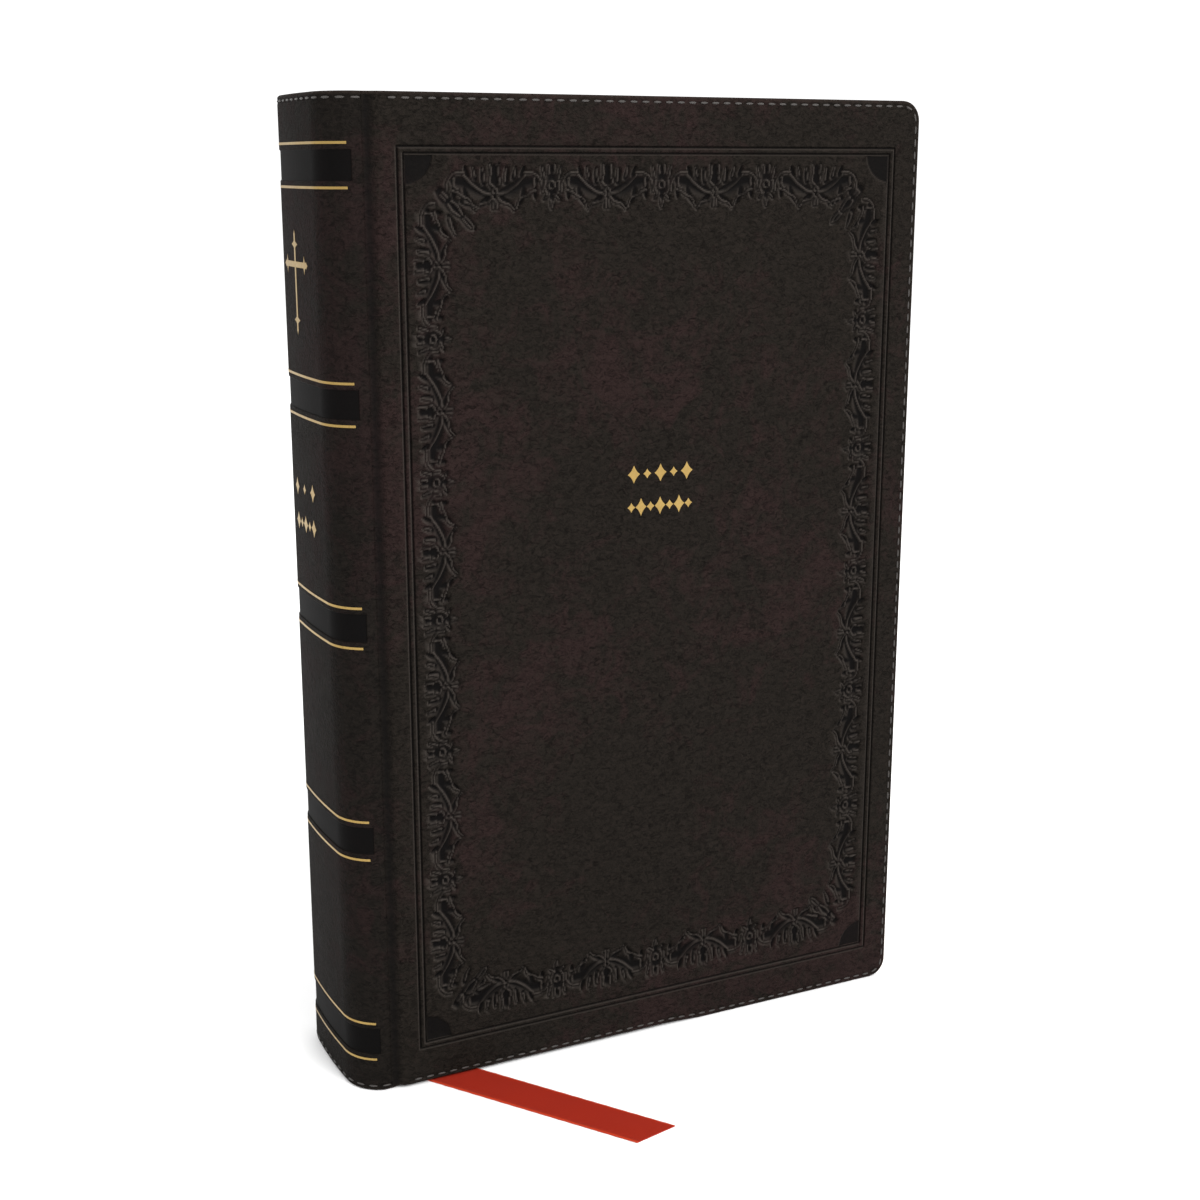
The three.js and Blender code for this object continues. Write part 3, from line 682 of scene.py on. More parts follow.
def side_motif(along, inward, crowns, centre, half):
    """The border along one side: along runs between its crowns, inward is counted from the frame line."""
    crowns = np.array(crowns)
    near = crowns[np.argmin(np.abs(along[:, None] - crowns[None, :]), axis=1)]
    gaps = np.diff(crowns)
    step = np.where(along > near, np.interp(near, crowns[:-1], gaps), np.interp(near, crowns[1:], gaps))
    px = np.abs(along - near) / (step / 2) * HALF_CELL
    py = (centre - inward) / half * 4.5
    outer = (along < crowns[0]) | (along > crowns[-1])
    body, rib = motif(px, py, LEAF_BODIES, LEAF_RIBS)
    flower, petal = motif(px, py, FLOWER_BODIES, FLOWER_RIBS)
    body = np.maximum(body, np.where(outer, 0, flower))
    rib = np.maximum(rib, np.where(outer, 0, petal))
    inside = (inward > 0.3) & (px < HALF_CELL + 0.5)
    return body * inside, rib * inside


def border(run, z):
    """Pressed depth share and rib share of a cover's leaf border and corner sprigs."""
    left, tail, right, head = LINE_INNER
    body, rib = np.zeros_like(run), np.zeros_like(run)
    for inward, along, crowns, centre, half in (
        (head - z, run, HEAD_CROWNS, HEAD_BAND_CENTRE, HEAD_BAND_HALF),
        (z - tail, run, HEAD_CROWNS, TAIL_BAND_CENTRE, HEAD_BAND_HALF),
        (run - left, z, SIDE_CROWNS, SIDE_BAND_CENTRE, SIDE_BAND_HALF),
        (right - run, z, SIDE_CROWNS, SIDE_BAND_CENTRE, SIDE_BAND_HALF),
    ):
        near = (inward > 0) & (inward < BORDER_REACH)
        part_body, part_rib = side_motif(along[near], inward[near], crowns, centre, half)
        body[near] = np.maximum(body[near], part_body)
        rib[near] = np.maximum(rib[near], part_rib)
    across = np.minimum(run - left, right - run)
    up = np.minimum(z - tail, head - z)
    near = (across > 3) & (across < 19) & (up > 3) & (up < 19)
    px, py = np.maximum(across, up)[near], np.minimum(across, up)[near]
    part_body, part_rib = motif(px, py, CORNER_BODIES, CORNER_RIBS)
    body[near] = np.maximum(body[near], part_body)
    rib[near] = np.maximum(rib[near], part_rib)
    return body, rib


def frame_line(run, z, corners, width):
    """1 on a rectangle's outline and 0 beyond half its width."""
    left, tail, right, head = corners
    dx = np.maximum(left - run, run - right)
    dz = np.maximum(tail - z, z - head)
    outside = np.hypot(np.maximum(dx, 0), np.maximum(dz, 0))
    away = np.abs(np.where((dx > 0) | (dz > 0), outside, np.maximum(dx, dz)))
    return smoothstep(1 - away / (width / 2), 0.0, 0.8)


def quarter_disc(run, z):
    left, tail, right, head = LINE_INNER
    across = np.minimum(run - left, right - run)
    up = np.minimum(z - tail, head - z)
    inside = (across > 0.35) & (up > 0.35)
    return np.where(inside, smoothstep(DISC_RADIUS - np.hypot(across, up), 0.0, 0.35), 0.0)


def edge_distance(run, z):
    """How far in from a cover's free edges each point lies."""
    corner_x, corner_z = FORE - CORNER, np.clip(z, CORNER, HEIGHT - CORNER)
    reach = np.hypot(np.maximum(run - corner_x, 0), z - corner_z)
    straight = np.minimum(FORE - run, np.minimum(z, HEIGHT - z))
    return np.where((run > corner_x) & (z != corner_z), CORNER - reach, straight)


def stitch_groove(inset):
    return smoothstep(1 - np.abs(inset - STITCH_INSET) / STITCH_REACH, 0.0, 1.0)


# A rib stands by this share of its body's depth. A painted highlight goes on the flank facing this way,
# towards the key light, and more faintly along each rib.
RIB_SHARE = 0.85
HIGHLIGHT_STEP = (0.28, 0.2)
HIGHLIGHT_GAIN = 2.2
RIB_PAINTED_HIGHLIGHT = 0.2
# Middle, half width and strength of the groove's darkening, partly the joint iron and partly painted shade.
JOINT_CREASE, JOINT_CREASE_HALF = -1.7, 1.9
JOINT_IRON_AND_SHADE_TONE = 0.75
# Share of pressed darkening laid over the whole spine as painted shade.
SPINE_PAINTED_SHADE = 0.33


def cover_form(run, z, depth):
    """How deep the front cover's outer face is pressed, and its smoothed and raised shares."""
    outer, inner = frame_line(run, z, LINE_OUTER, LINE_WIDTH), frame_line(run, z, LINE_INNER, LINE_WIDTH)
    line = np.maximum(outer, inner)
    disc = quarter_disc(run, z)
    body, rib = border(run, z)
    press = np.maximum(line * LINE_DEPTH, disc * DISC_DEPTH)
    leaf = depth * np.clip(body - RIB_SHARE * rib, -0.05, 1)
    between = frame_line(run, z, tuple((a + b) / 2 for a, b in zip(LINE_OUTER, LINE_INNER)), SWELL_WIDTH)
    swell = -SWELL_HEIGHT * between * (1 - line)
    smooth = np.clip(np.maximum.reduce([line * 0.9, disc * 0.9, body]), 0, 1)
    return np.maximum(press, leaf) + swell, smooth * (1 - 0.4 * rib), rib


def joint_iron_and_shade(run):
    """How far the hot joint iron has smoothed the groove, and how far the groove is darkened, partly by the
    iron and partly as painted shade.
    """
    return JOINT_IRON_AND_SHADE_TONE * smoothstep(1 - np.abs(run - JOINT_CREASE) / JOINT_CREASE_HALF, 0.0, 1.0)


def press_cover(run, z, depth):
    """Depth, smoothed share and painted-highlight share of a cover's outer face."""
    form, smooth, rib = cover_form(run, z, depth)
    beside = cover_form(run + HIGHLIGHT_STEP[0], z + HIGHLIGHT_STEP[1], depth)[0]
    painted_highlight = np.clip(HIGHLIGHT_GAIN * (beside - form) + RIB_PAINTED_HIGHLIGHT * rib, 0, 1)
    groove = stitch_groove(edge_distance(run, z)) * STITCH_GROOVE * (run > 0.4)
    return form + groove, np.maximum(smooth, joint_iron_and_shade(run)), painted_highlight


def press_plain_cover(run, z):
    """Depth and smoothed share of the back cover's outer face, which has the frame lines only."""
    outer, inner = frame_line(run, z, LINE_OUTER, LINE_WIDTH), frame_line(run, z, LINE_INNER, LINE_WIDTH)
    line = np.maximum(outer, inner)
    return line * LINE_DEPTH + stitch_groove(edge_distance(run, z)) * STITCH_GROOVE, line * 0.8


def press_spine(run, z):
    """Depth and pressed share of the spine's outer face: its five smooth bands, the stitch lines and a
    painted shade.
    """
    end = run_at(BAND_END_X)
    across = np.minimum(end - run, run - (2 * MIDDLE_RUN - end))
    press = np.zeros_like(run)
    for centre in SPINE_BANDS:
        inside = np.minimum(across, SPINE_BAND_HEIGHT / 2 - np.abs(z - centre))
        press = np.maximum(press, smoothstep(inside, -0.05, 0.3))
    groove = stitch_groove(np.minimum(z, HEIGHT - z)) * STITCH_GROOVE
    smooth = np.maximum(np.maximum(press, joint_iron_and_shade(run)), SPINE_PAINTED_SHADE)
    return SPINE_BAND_DEPTH * press + groove, smooth


# ---- Mesh building ----


def ticks(*stops):
    """Grid places from (start, end, step) stretches, evenly spaced in each."""
    places = []
    for start, end, step in stops:
        count = max(1, round(abs(end - start) / step))
        places.extend(np.linspace(start, end, count + 1)[0 if not places else 1 :])
    return np.array(places)


def grid(bm, columns, rows):
    """A flat grid with its lines at the given places. Returns its vertices."""
    made = bmesh.ops.create_grid(bm, x_segments=len(columns) - 1, y_segments=len(rows) - 1, size=1)["verts"]
    for vert in made:
        i = round((vert.co.x + 1) / 2 * (len(columns) - 1))
        j = round((vert.co.y + 1) / 2 * (len(rows) - 1))
        vert.co = (columns[i], rows[j], 0)
    return made


def round_corners(verts, inset):
    """Bends the square corners at the fore-edge to the cover's corner radius."""
    reach = CORNER - inset
    for vert in verts:
        for centre_z, side in ((CORNER, -1), (HEIGHT - CORNER, 1)):
            a = (vert.co.x - (FORE - CORNER)) / reach
            b = (vert.co.y - centre_z) * side / reach
            if a > 0 and b > 0:
                vert.co.x = FORE - CORNER + reach * a * math.sqrt(1 - b * b / 2)
                vert.co.y = centre_z + side * reach * b * math.sqrt(1 - a * a / 2)


def outward(co, fore):
    """The direction out of the sheet at a point of its head, fore or tail edge."""
    if fore and co.x > FORE - CORNER:
        centre_z = min(max(co.y, CORNER), HEIGHT - CORNER)
        away = Vector((co.x - (FORE - CORNER), co.y - centre_z))
        return away.normalized()
    return Vector((0, 1 if co.y > HEIGHT / 2 else -1))


def leather_sheet(columns, rows, fore):
    """A flat closed sheet of leather with its head, tail and, for a cover, fore-edge turned in.

    Its outer face is at height 0 and what lies under it is below. Returns the bmesh."""
    bm = bmesh.new()
    verts = grid(bm, columns, rows)
    if fore:
        round_corners(verts, EDGE_ROUND)
    outer = list(bm.faces)
    start, end = columns[0], columns[-1]
    free = []
    for edge in bm.edges:
        if len(edge.link_faces) != 1:
            continue
        flat_x = [abs(v.co.x - start) < 1e-6 for v in edge.verts]
        far_x = [abs(v.co.x - end) < 1e-6 for v in edge.verts]
        if all(flat_x) or (not fore and all(far_x)):
            continue
        free.append(edge)

    inner = bmesh.ops.duplicate(bm, geom=outer)["geom"]
    inner_faces = [g for g in inner if isinstance(g, bmesh.types.BMFace)]
    inner_verts = [g for g in inner if isinstance(g, bmesh.types.BMVert)]
    bmesh.ops.translate(bm, verts=inner_verts, vec=(0, 0, -LEATHER))
    bmesh.ops.reverse_faces(bm, faces=inner_faces)

    # Each ring is an inset from the free edge and a depth: round the edge, under it, and back into the case.
    rings = [(EDGE_ROUND * (1 - math.sin(t)), EDGE_ROUND * (1 - math.cos(t)))
             for t in np.radians((22, 45, 68, 90))]
    rings += [(0.0, 1.4), (0.0, COVER_DEPTH - 0.5), (0.15, COVER_DEPTH - 0.15), (0.5, COVER_DEPTH)]
    rings += [(TURN_IN_REACH / 2, COVER_DEPTH), (TURN_IN_REACH, COVER_DEPTH)]
    rings += [(TURN_IN_REACH, COVER_DEPTH - TURN_IN), (LEATHER, COVER_DEPTH - TURN_IN), (LEATHER, LEATHER)]
    edges, inset_now = free, EDGE_ROUND
    for inset, depth in rings:
        made = bmesh.ops.extrude_edge_only(bm, edges=edges)["geom"]
        edges = [g for g in made if isinstance(g, bmesh.types.BMEdge) and len(g.link_faces) == 1
                 and all(v in made for v in g.verts)]
        for vert in (g for g in made if isinstance(g, bmesh.types.BMVert)):
            push = outward(vert.co, fore) * (inset_now - inset)
            vert.co.x += push.x
            vert.co.y += push.y
            vert.co.z = -depth
        edges = [e for e in edges if not any(abs(abs(v.co.z) - depth) > 1e-6 for v in e.verts)]
        inset_now = inset
    bmesh.ops.remove_doubles(bm, verts=bm.verts, dist=1e-4)
    open_edges = [e for e in bm.edges if len(e.link_faces) == 1]
    bmesh.ops.holes_fill(bm, edges=open_edges, sides=0)
    bmesh.ops.recalc_face_normals(bm, faces=bm.faces)
    return bm


def store(mesh, name, values, kind="FLOAT"):
    layer = mesh.attributes.new(name, kind, "POINT")
    values = np.asarray(values, dtype=np.float32)
    layer.data.foreach_set("vector" if kind == "FLOAT_VECTOR" else "value", values.ravel())


def coordinates(mesh):
    flat = np.empty(len(mesh.vertices) * 3)
    mesh.vertices.foreach_get("co", flat)
    return flat.reshape(-1, 3)


def place_points(mesh, points):
    """Moves a mesh's points to places in millimetres and keeps them as the pattern's own coordinates."""
    mesh.vertices.foreach_set("co", (points * MM).ravel())
    store(mesh, "lay", points, "FLOAT_VECTOR")
    mesh.update()


def piece(name, bm, finishes, smooth=True):
    """Turns a bmesh into a named object with its materials."""
    mesh = bpy.data.meshes.new(name)
    bm.to_mesh(mesh)
    bm.free()
    for finish in finishes:
        mesh.materials.append(finish)
    mesh.polygons.foreach_set("use_smooth", [smooth] * len(mesh.polygons))
    made = bpy.data.objects.new(name, mesh)
    bpy.context.scene.collection.objects.link(made)
    return made


def sharpen(obj, degrees=40):
    """Marks edges sharper than an angle, so that flat faces shade flat."""
    bm = bmesh.new()
    bm.from_mesh(obj.data)
    limit = math.radians(degrees)
    for edge in bm.edges:
        if len(edge.link_faces) != 2 or edge.calc_face_angle(0) > limit:
            edge.smooth = False
    bm.to_mesh(obj.data)
    bm.free()


def flip_side(points):
    """Carries a front piece's plan to the back cover."""
    return points * (1, -1, 1)


# ---- Operators ----

# The view, in millimetres of lens, metres and degrees
CAMERA_LENS = 52.48
CAMERA_PLACE = (-0.17844, -0.35811, 0.20174)
CAMERA_TILT, CAMERA_TURN = 76.053, -26.368
# Name, place, the point it faces, size and power
LIGHTS = (
    ("key_light", (0.28, -1.05, 1.05), (0, 0, 0.11), 0.6, 15.0),
    ("fill_light", (0.9, -1.2, 0.7), (0, 0, 0.1), 1.2, 2.0),
    ("back_light", (0.3, 1.1, 1.2), (0, 0, 0.1), 1.2, 5.0),
)


class BIBLE_OT_stage(bpy.types.Operator):
    """Sets up the camera, the pale floor and the soft studio light"""

    bl_idname = "bible.stage"
    bl_label = "Stage"

    def execute(self, context):
        scene = context.scene
        camera = bpy.data.objects.new("camera", bpy.data.cameras.new("camera"))
        camera.data.lens = CAMERA_LENS
        camera.data.sensor_width = 36.0
        camera.location = CAMERA_PLACE
        camera.rotation_euler = (math.radians(CAMERA_TILT), 0, math.radians(CAMERA_TURN))
        scene.collection.objects.link(camera)
        scene.camera = camera

        bm = bmesh.new()
        bmesh.ops.create_grid(bm, x_segments=1, y_segments=1, size=40.0)
        mesh = bpy.data.meshes.new("floor")
        bm.to_mesh(mesh)
        bm.free()
        floor = bpy.data.objects.new("floor", mesh)
        # Matt painted studio floor: nearly white, with a faint roller stipple.
        finish, tree, shader = new_finish("matt_floor_paint", Roughness=0.9, Specular_IOR_Level=0.1)
        place = add(tree, "TexCoord", {}, "Object")
        stipple = add(tree, "TexNoise", {"Vector": place, "Scale": 40.0, "Detail": 3.0}, "Fac")
        tones = {0: stipple, 6: linear("#fdfdfd"), 7: linear("#ffffff")}
        paint = add(tree, "Mix", tones, 2, data_type="RGBA")
        tree.links.new(paint, shader.inputs["Base Color"])
        mesh.materials.append(finish)
        scene.collection.objects.link(floor)

        world = bpy.data.worlds.new("studio")
        scene.world = world
        world.use_nodes = True
        sky = world.node_tree.nodes["Background"]
        sky.inputs["Color"].default_value = (1.0, 1.0, 1.0, 1.0)
        sky.inputs["Strength"].default_value = 1.18
        for name, place, aim, size, power in LIGHTS:
            light = bpy.data.objects.new(name, bpy.data.lights.new(name, "AREA"))
            light.data.size = size
            light.data.energy = power
            light.location = place
            light.rotation_euler = (Vector(aim) - Vector(place)).to_track_quat("-Z", "Y").to_euler()
            scene.collection.objects.link(light)
        scene.view_settings.view_transform = "Standard"
        return {"FINISHED"}


# The ribbon outside the block: down from its exit, round a bend onto the table, and on at a slant
RIBBON_WIDTH = 10.0
RIBBON_THICKNESS = 0.3
RIBBON_SLANT = math.radians(34.5)
RIBBON_EXIT = (-55.75, -9.6, 3.5)
RIBBON_LENGTH = 66.3
RIBBON_DROP = 0.7
RIBBON_BEND = 2.6
RIBBON_SKEW = 2.3


def ribbon_point(along, across, face):
    """A point of the ribbon, from its places along the run, across from -1 to 1, and out of its face."""
    exit_x, exit_y, exit_z = RIBBON_EXIT
    half = RIBBON_WIDTH / 2 / math.cos(RIBBON_SLANT)
    x = exit_x + along * math.tan(RIBBON_SLANT) + across * half
    bend_end = RIBBON_DROP + RIBBON_BEND * math.pi / 2
    floor_z = exit_z - RIBBON_DROP - RIBBON_BEND
    if along <= RIBBON_DROP:
        return (x, exit_y - face, exit_z - along)
    if along < bend_end:
        angle = (along - RIBBON_DROP) / RIBBON_BEND
        radius = RIBBON_BEND - face
        y = exit_y - RIBBON_BEND + radius * math.cos(angle)
        return (x, y, exit_z - RIBBON_DROP - radius * math.sin(angle))
    return (x, exit_y - RIBBON_BEND - (along - bend_end), floor_z + face)


class BIBLE_OT_ribbon(bpy.types.Operator):
    """Makes the ribbon marker that hangs from the block and lies out on the table"""

    bl_idname = "bible.ribbon"
    bl_label = "Ribbon"

    def execute(self, context):
        settings = context.scene.bible_ribbon
        run = RIBBON_LENGTH * math.cos(RIBBON_SLANT)
        bm = bmesh.new()
        stops = ticks((0, RIBBON_DROP, 0.35), (RIBBON_DROP, 4.8, 0.34), (4.8, run, 0.6))
        lanes = ticks((-1, -0.9, 0.03), (-0.9, 0.9, 0.2), (0.9, 1, 0.03))
        grid(bm, lanes, stops)
        bottom = bmesh.ops.extrude_face_region(bm, geom=list(bm.faces))["geom"]
        lower = [g for g in bottom if isinstance(g, bmesh.types.BMVert)]
        bmesh.ops.translate(bm, verts=lower, vec=(0, 0, -1))
        bmesh.ops.recalc_face_normals(bm, faces=bm.faces)
        satin = finish_named("ribbon", lambda: ribbon_finish(settings, True))
        obj = piece("ribbon_strip", bm, [satin])
        flat = coordinates(obj.data)
        points = []
        for across, along, level in flat:
            share = max(0.0, (along - 8) / (run - 8))
            end = smoothstep(np.array(along), run - 6, run)
            skewed = along - across * RIBBON_SKEW / 2 * float(end)
            # The selvedge is a little thicker than the web, and the web lies in a shallow ripple.
            edge = float(smoothstep(np.array(abs(across)), 0.9, 0.94))
            half = RIBBON_THICKNESS / 2 * (0.72 + 0.28 * edge) * (1 if abs(across) < 0.985 else 0.45)
            wave = 0.03 * math.sin(skewed * 0.55 + across * 0.8) * min(1.0, share * 4) * (1 - edge)
            wobble = 1 + 0.006 * math.sin(skewed * 2.1) * edge
            face = (half if level > -0.5 else -half) + wave
            points.append(ribbon_point(skewed, across * wobble, face))
        points = np.array(points)
        place_points(obj.data, points)
        uv = obj.data.uv_layers.new(name="weave")
        corners = np.empty(len(obj.data.loops), dtype=np.int64)
        obj.data.loops.foreach_get("vertex_index", corners)
        weave = np.stack([flat[:, 0] * RIBBON_WIDTH / 2, flat[:, 1] / math.cos(RIBBON_SLANT)], axis=1)
        uv.data.foreach_set("uv", weave[corners].astype(np.float32).ravel())
        sharpen(obj)
        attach(obj, "root")
        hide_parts("ribbon_tail")
        inside = finish_named("ribbon_inside", lambda: ribbon_finish(settings, False))
        frame["nodes"]["ribbon_marker"].material_slots[0].material = inside
        return {"FINISHED"}


def refine_border(bm):
    """Divides the outer faces of a cover again wherever its border or corner discs have an edge."""
    left, tail, right, head = LINE_INNER
    tops = [f for f in bm.faces if all(abs(v.co.z) < 1e-6 for v in f.verts)]
    centres = np.array([f.calc_center_median()[:2] for f in tops])
    sizes = np.array([max(e.calc_length() for e in f.edges) for f in tops])
    needed = np.zeros(len(tops), dtype=bool)
    for dx in (-0.55, 0, 0.55):
        for dz in (-0.55, 0, 0.55):
            body, rib = border(centres[:, 0] + dx, centres[:, 1] + dz)
            disc = quarter_disc(centres[:, 0] + dx, centres[:, 1] + dz)
            needed |= (body > 0.02) | (rib > 0.02) | ((disc > 0.02) & (disc < 0.98))
    needed &= sizes < 1.6
    needed &= (centres[:, 0] > left + 0.3) & (centres[:, 0] < right - 0.3)
    needed &= (centres[:, 1] > tail + 0.3) & (centres[:, 1] < head - 0.3)
    edges = list({e for f, use in zip(tops, needed) if use for e in f.edges})
    bmesh.ops.subdivide_edges(bm, edges=edges, cuts=3, use_grid_fill=True)


def turn_out(mesh):
    """Turns a mirrored mesh's faces the right way out again."""
    bm = bmesh.new()
    bm.from_mesh(mesh)
    bmesh.ops.reverse_faces(bm, faces=bm.faces)
    bm.to_mesh(mesh)
    bm.free()


class BIBLE_OT_covers(bpy.types.Operator):
    """Makes the two leather covers with their turned-in edges, joint grooves and pressed borders"""

    bl_idname = "bible.covers"
    bl_label = "Covers"

    def execute(self, context):
        settings = context.scene.bible_binding
        leather = finish_named("leather", lambda: leather_finish(settings))
        columns = ticks(
            (SEAM, 0.9, 0.27), (0.9, 3.8, 0.95), (3.8, 6.2, 0.15), (6.2, 20.6, 1.2), (20.6, 107.8, 1.25),
            (107.8, 122.2, 1.2), (122.2, 124.6, 0.15), (124.6, 128.5, 0.97), (128.5, FORE - 0.8, 0.2))
        rows = ticks(
            (0.8, 2.2, 0.2), (2.2, 8.5, 1.05), (8.5, 10.8, 0.15), (10.8, 27.6, 1.2), (27.6, 187.0, 1.25),
            (187.0, 203.7, 1.2), (203.7, 206.0, 0.15), (206.0, HEIGHT - 2.2, 1.1),
            (HEIGHT - 2.2, HEIGHT - 0.8, 0.2))
        for side in ("front", "back"):
            bm = leather_sheet(columns, rows, True)
            if side == "front":
                refine_border(bm)
            obj = piece(f"{side}_cover_skin", bm, [leather])
            flat = coordinates(obj.data)
            run, z, under = flat[:, 0], flat[:, 1], -flat[:, 2]
            face = under < 1e-5
            press, pressed, painted_highlight = (np.zeros(len(run)) for _ in range(3))
            if side == "front":
                shares = press_cover(run[face], z[face], settings.relief_depth / MM)
                press[face], pressed[face], painted_highlight[face] = shares
                z_laid, face_y = tail_lift(run, z), -FACE_Y
            else:
                press[face], pressed[face] = press_plain_cover(run[face], z[face])
                z_laid, face_y = z, FACE_Y
            wear = np.clip(1 - np.minimum(edge_distance(run, z), 3) / 0.9, 0, 1) * (under < 1.6)
            points = lay_on_case(run, z_laid, under + press)
            if side == "back":
                points = flip_side(points)
                turn_out(obj.data)
            place_points(obj.data, points)
            store(obj.data, "pressed", pressed)
            store(obj.data, "wear", wear)
            # The rib attribute holds the painted highlight for the leather's finish.
            store(obj.data, "rib", painted_highlight)
            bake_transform(obj)
            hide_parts(f"{side}_cover_leather", f"{side}_joint_leather")
        return {"FINISHED"}


class BIBLE_OT_spine(bpy.types.Operator):
    """Makes the rounded spine with its five pressed bands"""

    bl_idname = "bible.spine"
    bl_label = "Spine"

    def execute(self, context):
        settings = context.scene.bible_binding
        leather = finish_named("leather", lambda: leather_finish(settings))
        end = run_at(BAND_END_X)
        far = 2 * MIDDLE_RUN
        columns = ticks(
            (SEAM, end + 0.4, 0.35), (end + 0.4, end - 0.4, 0.1), (end - 0.4, far - end + 0.4, 1.0),
            (far - end + 0.4, far - end - 0.4, 0.1), (far - end - 0.4, far - SEAM, 0.35))
        stops = [(0.8, 2.2, 0.2)]
        last = 2.2
        for centre in SPINE_BANDS:
            low, high = centre - SPINE_BAND_HEIGHT / 2, centre + SPINE_BAND_HEIGHT / 2
            stops += [(last, low - 0.3, 1.5), (low - 0.3, low + 0.6, 0.1), (low + 0.6, high - 0.6, 0.8),
                      (high - 0.6, high + 0.3, 0.1)]
            last = high + 0.3
        stops += [(last, HEIGHT - 2.2, 1.2), (HEIGHT - 2.2, HEIGHT - 0.8, 0.2)]
        bm = leather_sheet(columns[::-1], ticks(*stops), False)
        obj = piece("spine_skin", bm, [leather])
        flat = coordinates(obj.data)
        run, z, under = flat[:, 0], flat[:, 1], -flat[:, 2]
        face = under < 1e-5
        press, pressed = np.zeros(len(run)), np.zeros(len(run))
        press[face], pressed[face] = press_spine(run[face], z[face])
        wear = np.clip(1 - np.minimum(z, HEIGHT - z) / 0.9, 0, 1) * (under < 1.6)
        place_points(obj.data, lay_on_case(run, z, under + press))
        store(obj.data, "pressed", pressed)
        store(obj.data, "wear", wear)
        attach(obj, "root")
        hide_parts("spine_leather")
        return {"FINISHED"}


def stitch(bm, place, along, out, length):
    """One stitch: a low rounded capsule of thread, dipping at its ends."""
    side = out.cross(along).normalized()
    turn = Matrix((along, side, out)).transposed().to_4x4()
    size = Matrix.Diagonal((length / 2, 0.25, 0.2, 1))
    lie = Matrix.Translation(place) @ turn @ size @ Matrix.Rotation(math.pi / 2, 4, "Y")
    bmesh.ops.create_uvsphere(bm, u_segments=6, v_segments=5, radius=1, matrix=lie)


def edge_path(inset):
    """A cover's stitch line on the flat sheet, from the joint along the head, fore-edge and tail."""
    points = [(2.2, HEIGHT - inset), (FORE - CORNER, HEIGHT - inset)]
    reach = CORNER - inset
    points += [(FORE - CORNER + reach * math.sin(t), HEIGHT - CORNER + reach * math.cos(t))
               for t in np.radians(np.arange(10, 91, 10))]
    points += [(FORE - CORNER + reach * math.cos(t), CORNER - reach * math.sin(t))
               for t in np.radians(np.arange(0, 91, 10))]
    points += [(2.2, inset)]
    return np.array(points)


def spaced(points, pitch):
    """Places and directions at an even pitch along a line of points."""
    length = np.concatenate([[0], np.cumsum(np.hypot(*np.diff(points, axis=0).T))])
    count = round(length[-1] / pitch)
    for i in range(count):
        ends = [(i + share) * length[-1] / count for share in (0.18, 0.82)]
        yield [np.array([np.interp(e, length, points[:, k]) for k in (0, 1)]) for e in ends]


class BIBLE_OT_stitching(bpy.types.Operator):
    """Sews the thread round the covers and across the ends of the spine, stitch by stitch"""

    bl_idname = "bible.stitching"
    bl_label = "Stitching"

    def sew(self, name, paths, pitch, body, replaced, lifted, flipped):
        thread = finish_named("thread", lambda: thread_finish("waxed_thread", "#3a3531", "#201c19"))
        bm = bmesh.new()
        for path in paths:
            for ends in spaced(path, pitch):
                flat = np.array(ends)
                z = tail_lift(flat[:, 0], flat[:, 1]) if lifted else flat[:, 1]
                high = lay_on_case(flat[:, 0], z, np.full(2, STITCH_GROOVE - 0.08))
                under = lay_on_case(flat[:, 0], z, np.full(2, STITCH_GROOVE + 1.0))
                if flipped:
                    high, under = flip_side(high), flip_side(under)
                along = Vector(high[1] - high[0])
                out = Vector((high - under).mean(axis=0)).normalized()
                out = (out - along.normalized() * out.dot(along.normalized())).normalized()
                stitch(bm, Vector(high.mean(axis=0)), along.normalized(), out, along.length)
        bmesh.ops.scale(bm, vec=(MM, MM, MM), verts=bm.verts)
        obj = piece(name, bm, [thread])
        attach(obj, body)
        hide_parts(*replaced)

    def execute(self, context):
        pitch = context.scene.bible_binding.stitch_pitch / MM
        cover = edge_path(STITCH_INSET)
        self.sew("front_stitches", [cover], pitch, "front_cover", ["front_cover_stitching"], True, False)
        self.sew("back_stitches", [cover], pitch, "back_cover", ["back_cover_stitching"], False, True)
        start, end = SEAM + 0.4, 2 * MIDDLE_RUN - SEAM - 0.4
        run = np.linspace(start, end, 80)
        for name, z in (("head", HEIGHT - STITCH_INSET), ("tail", STITCH_INSET)):
            line = np.stack([run, np.full_like(run, z)], axis=1)
            self.sew(f"spine_{name}_stitches", [line], pitch * 1.15, "root", [f"spine_{name}_stitching"],
                     False, False)
        return {"FINISHED"}


# The foil's face over the leather, and its underside just in it
FOIL_TOP, FOIL_FOOT = 0.05, -0.06


def foil_bar(bm, start, end, low, high, step=0.6):
    """A flat strip of foil on the case, as a thin closed sheet between two places along and up it."""
    made = bmesh.ops.create_cube(bm, size=1)["verts"]
    for vert in made:
        x, y, z = vert.co
        vert.co = (start if x < 0 else end, low if y < 0 else high, FOIL_TOP if z > 0 else FOIL_FOOT)
    along = [e for e in bm.edges
             if all(v in made for v in e.verts) and abs(e.verts[0].co.x - e.verts[1].co.x) > 1e-6]
    bmesh.ops.subdivide_edges(bm, edges=along, cuts=max(1, round(abs(end - start) / step)))


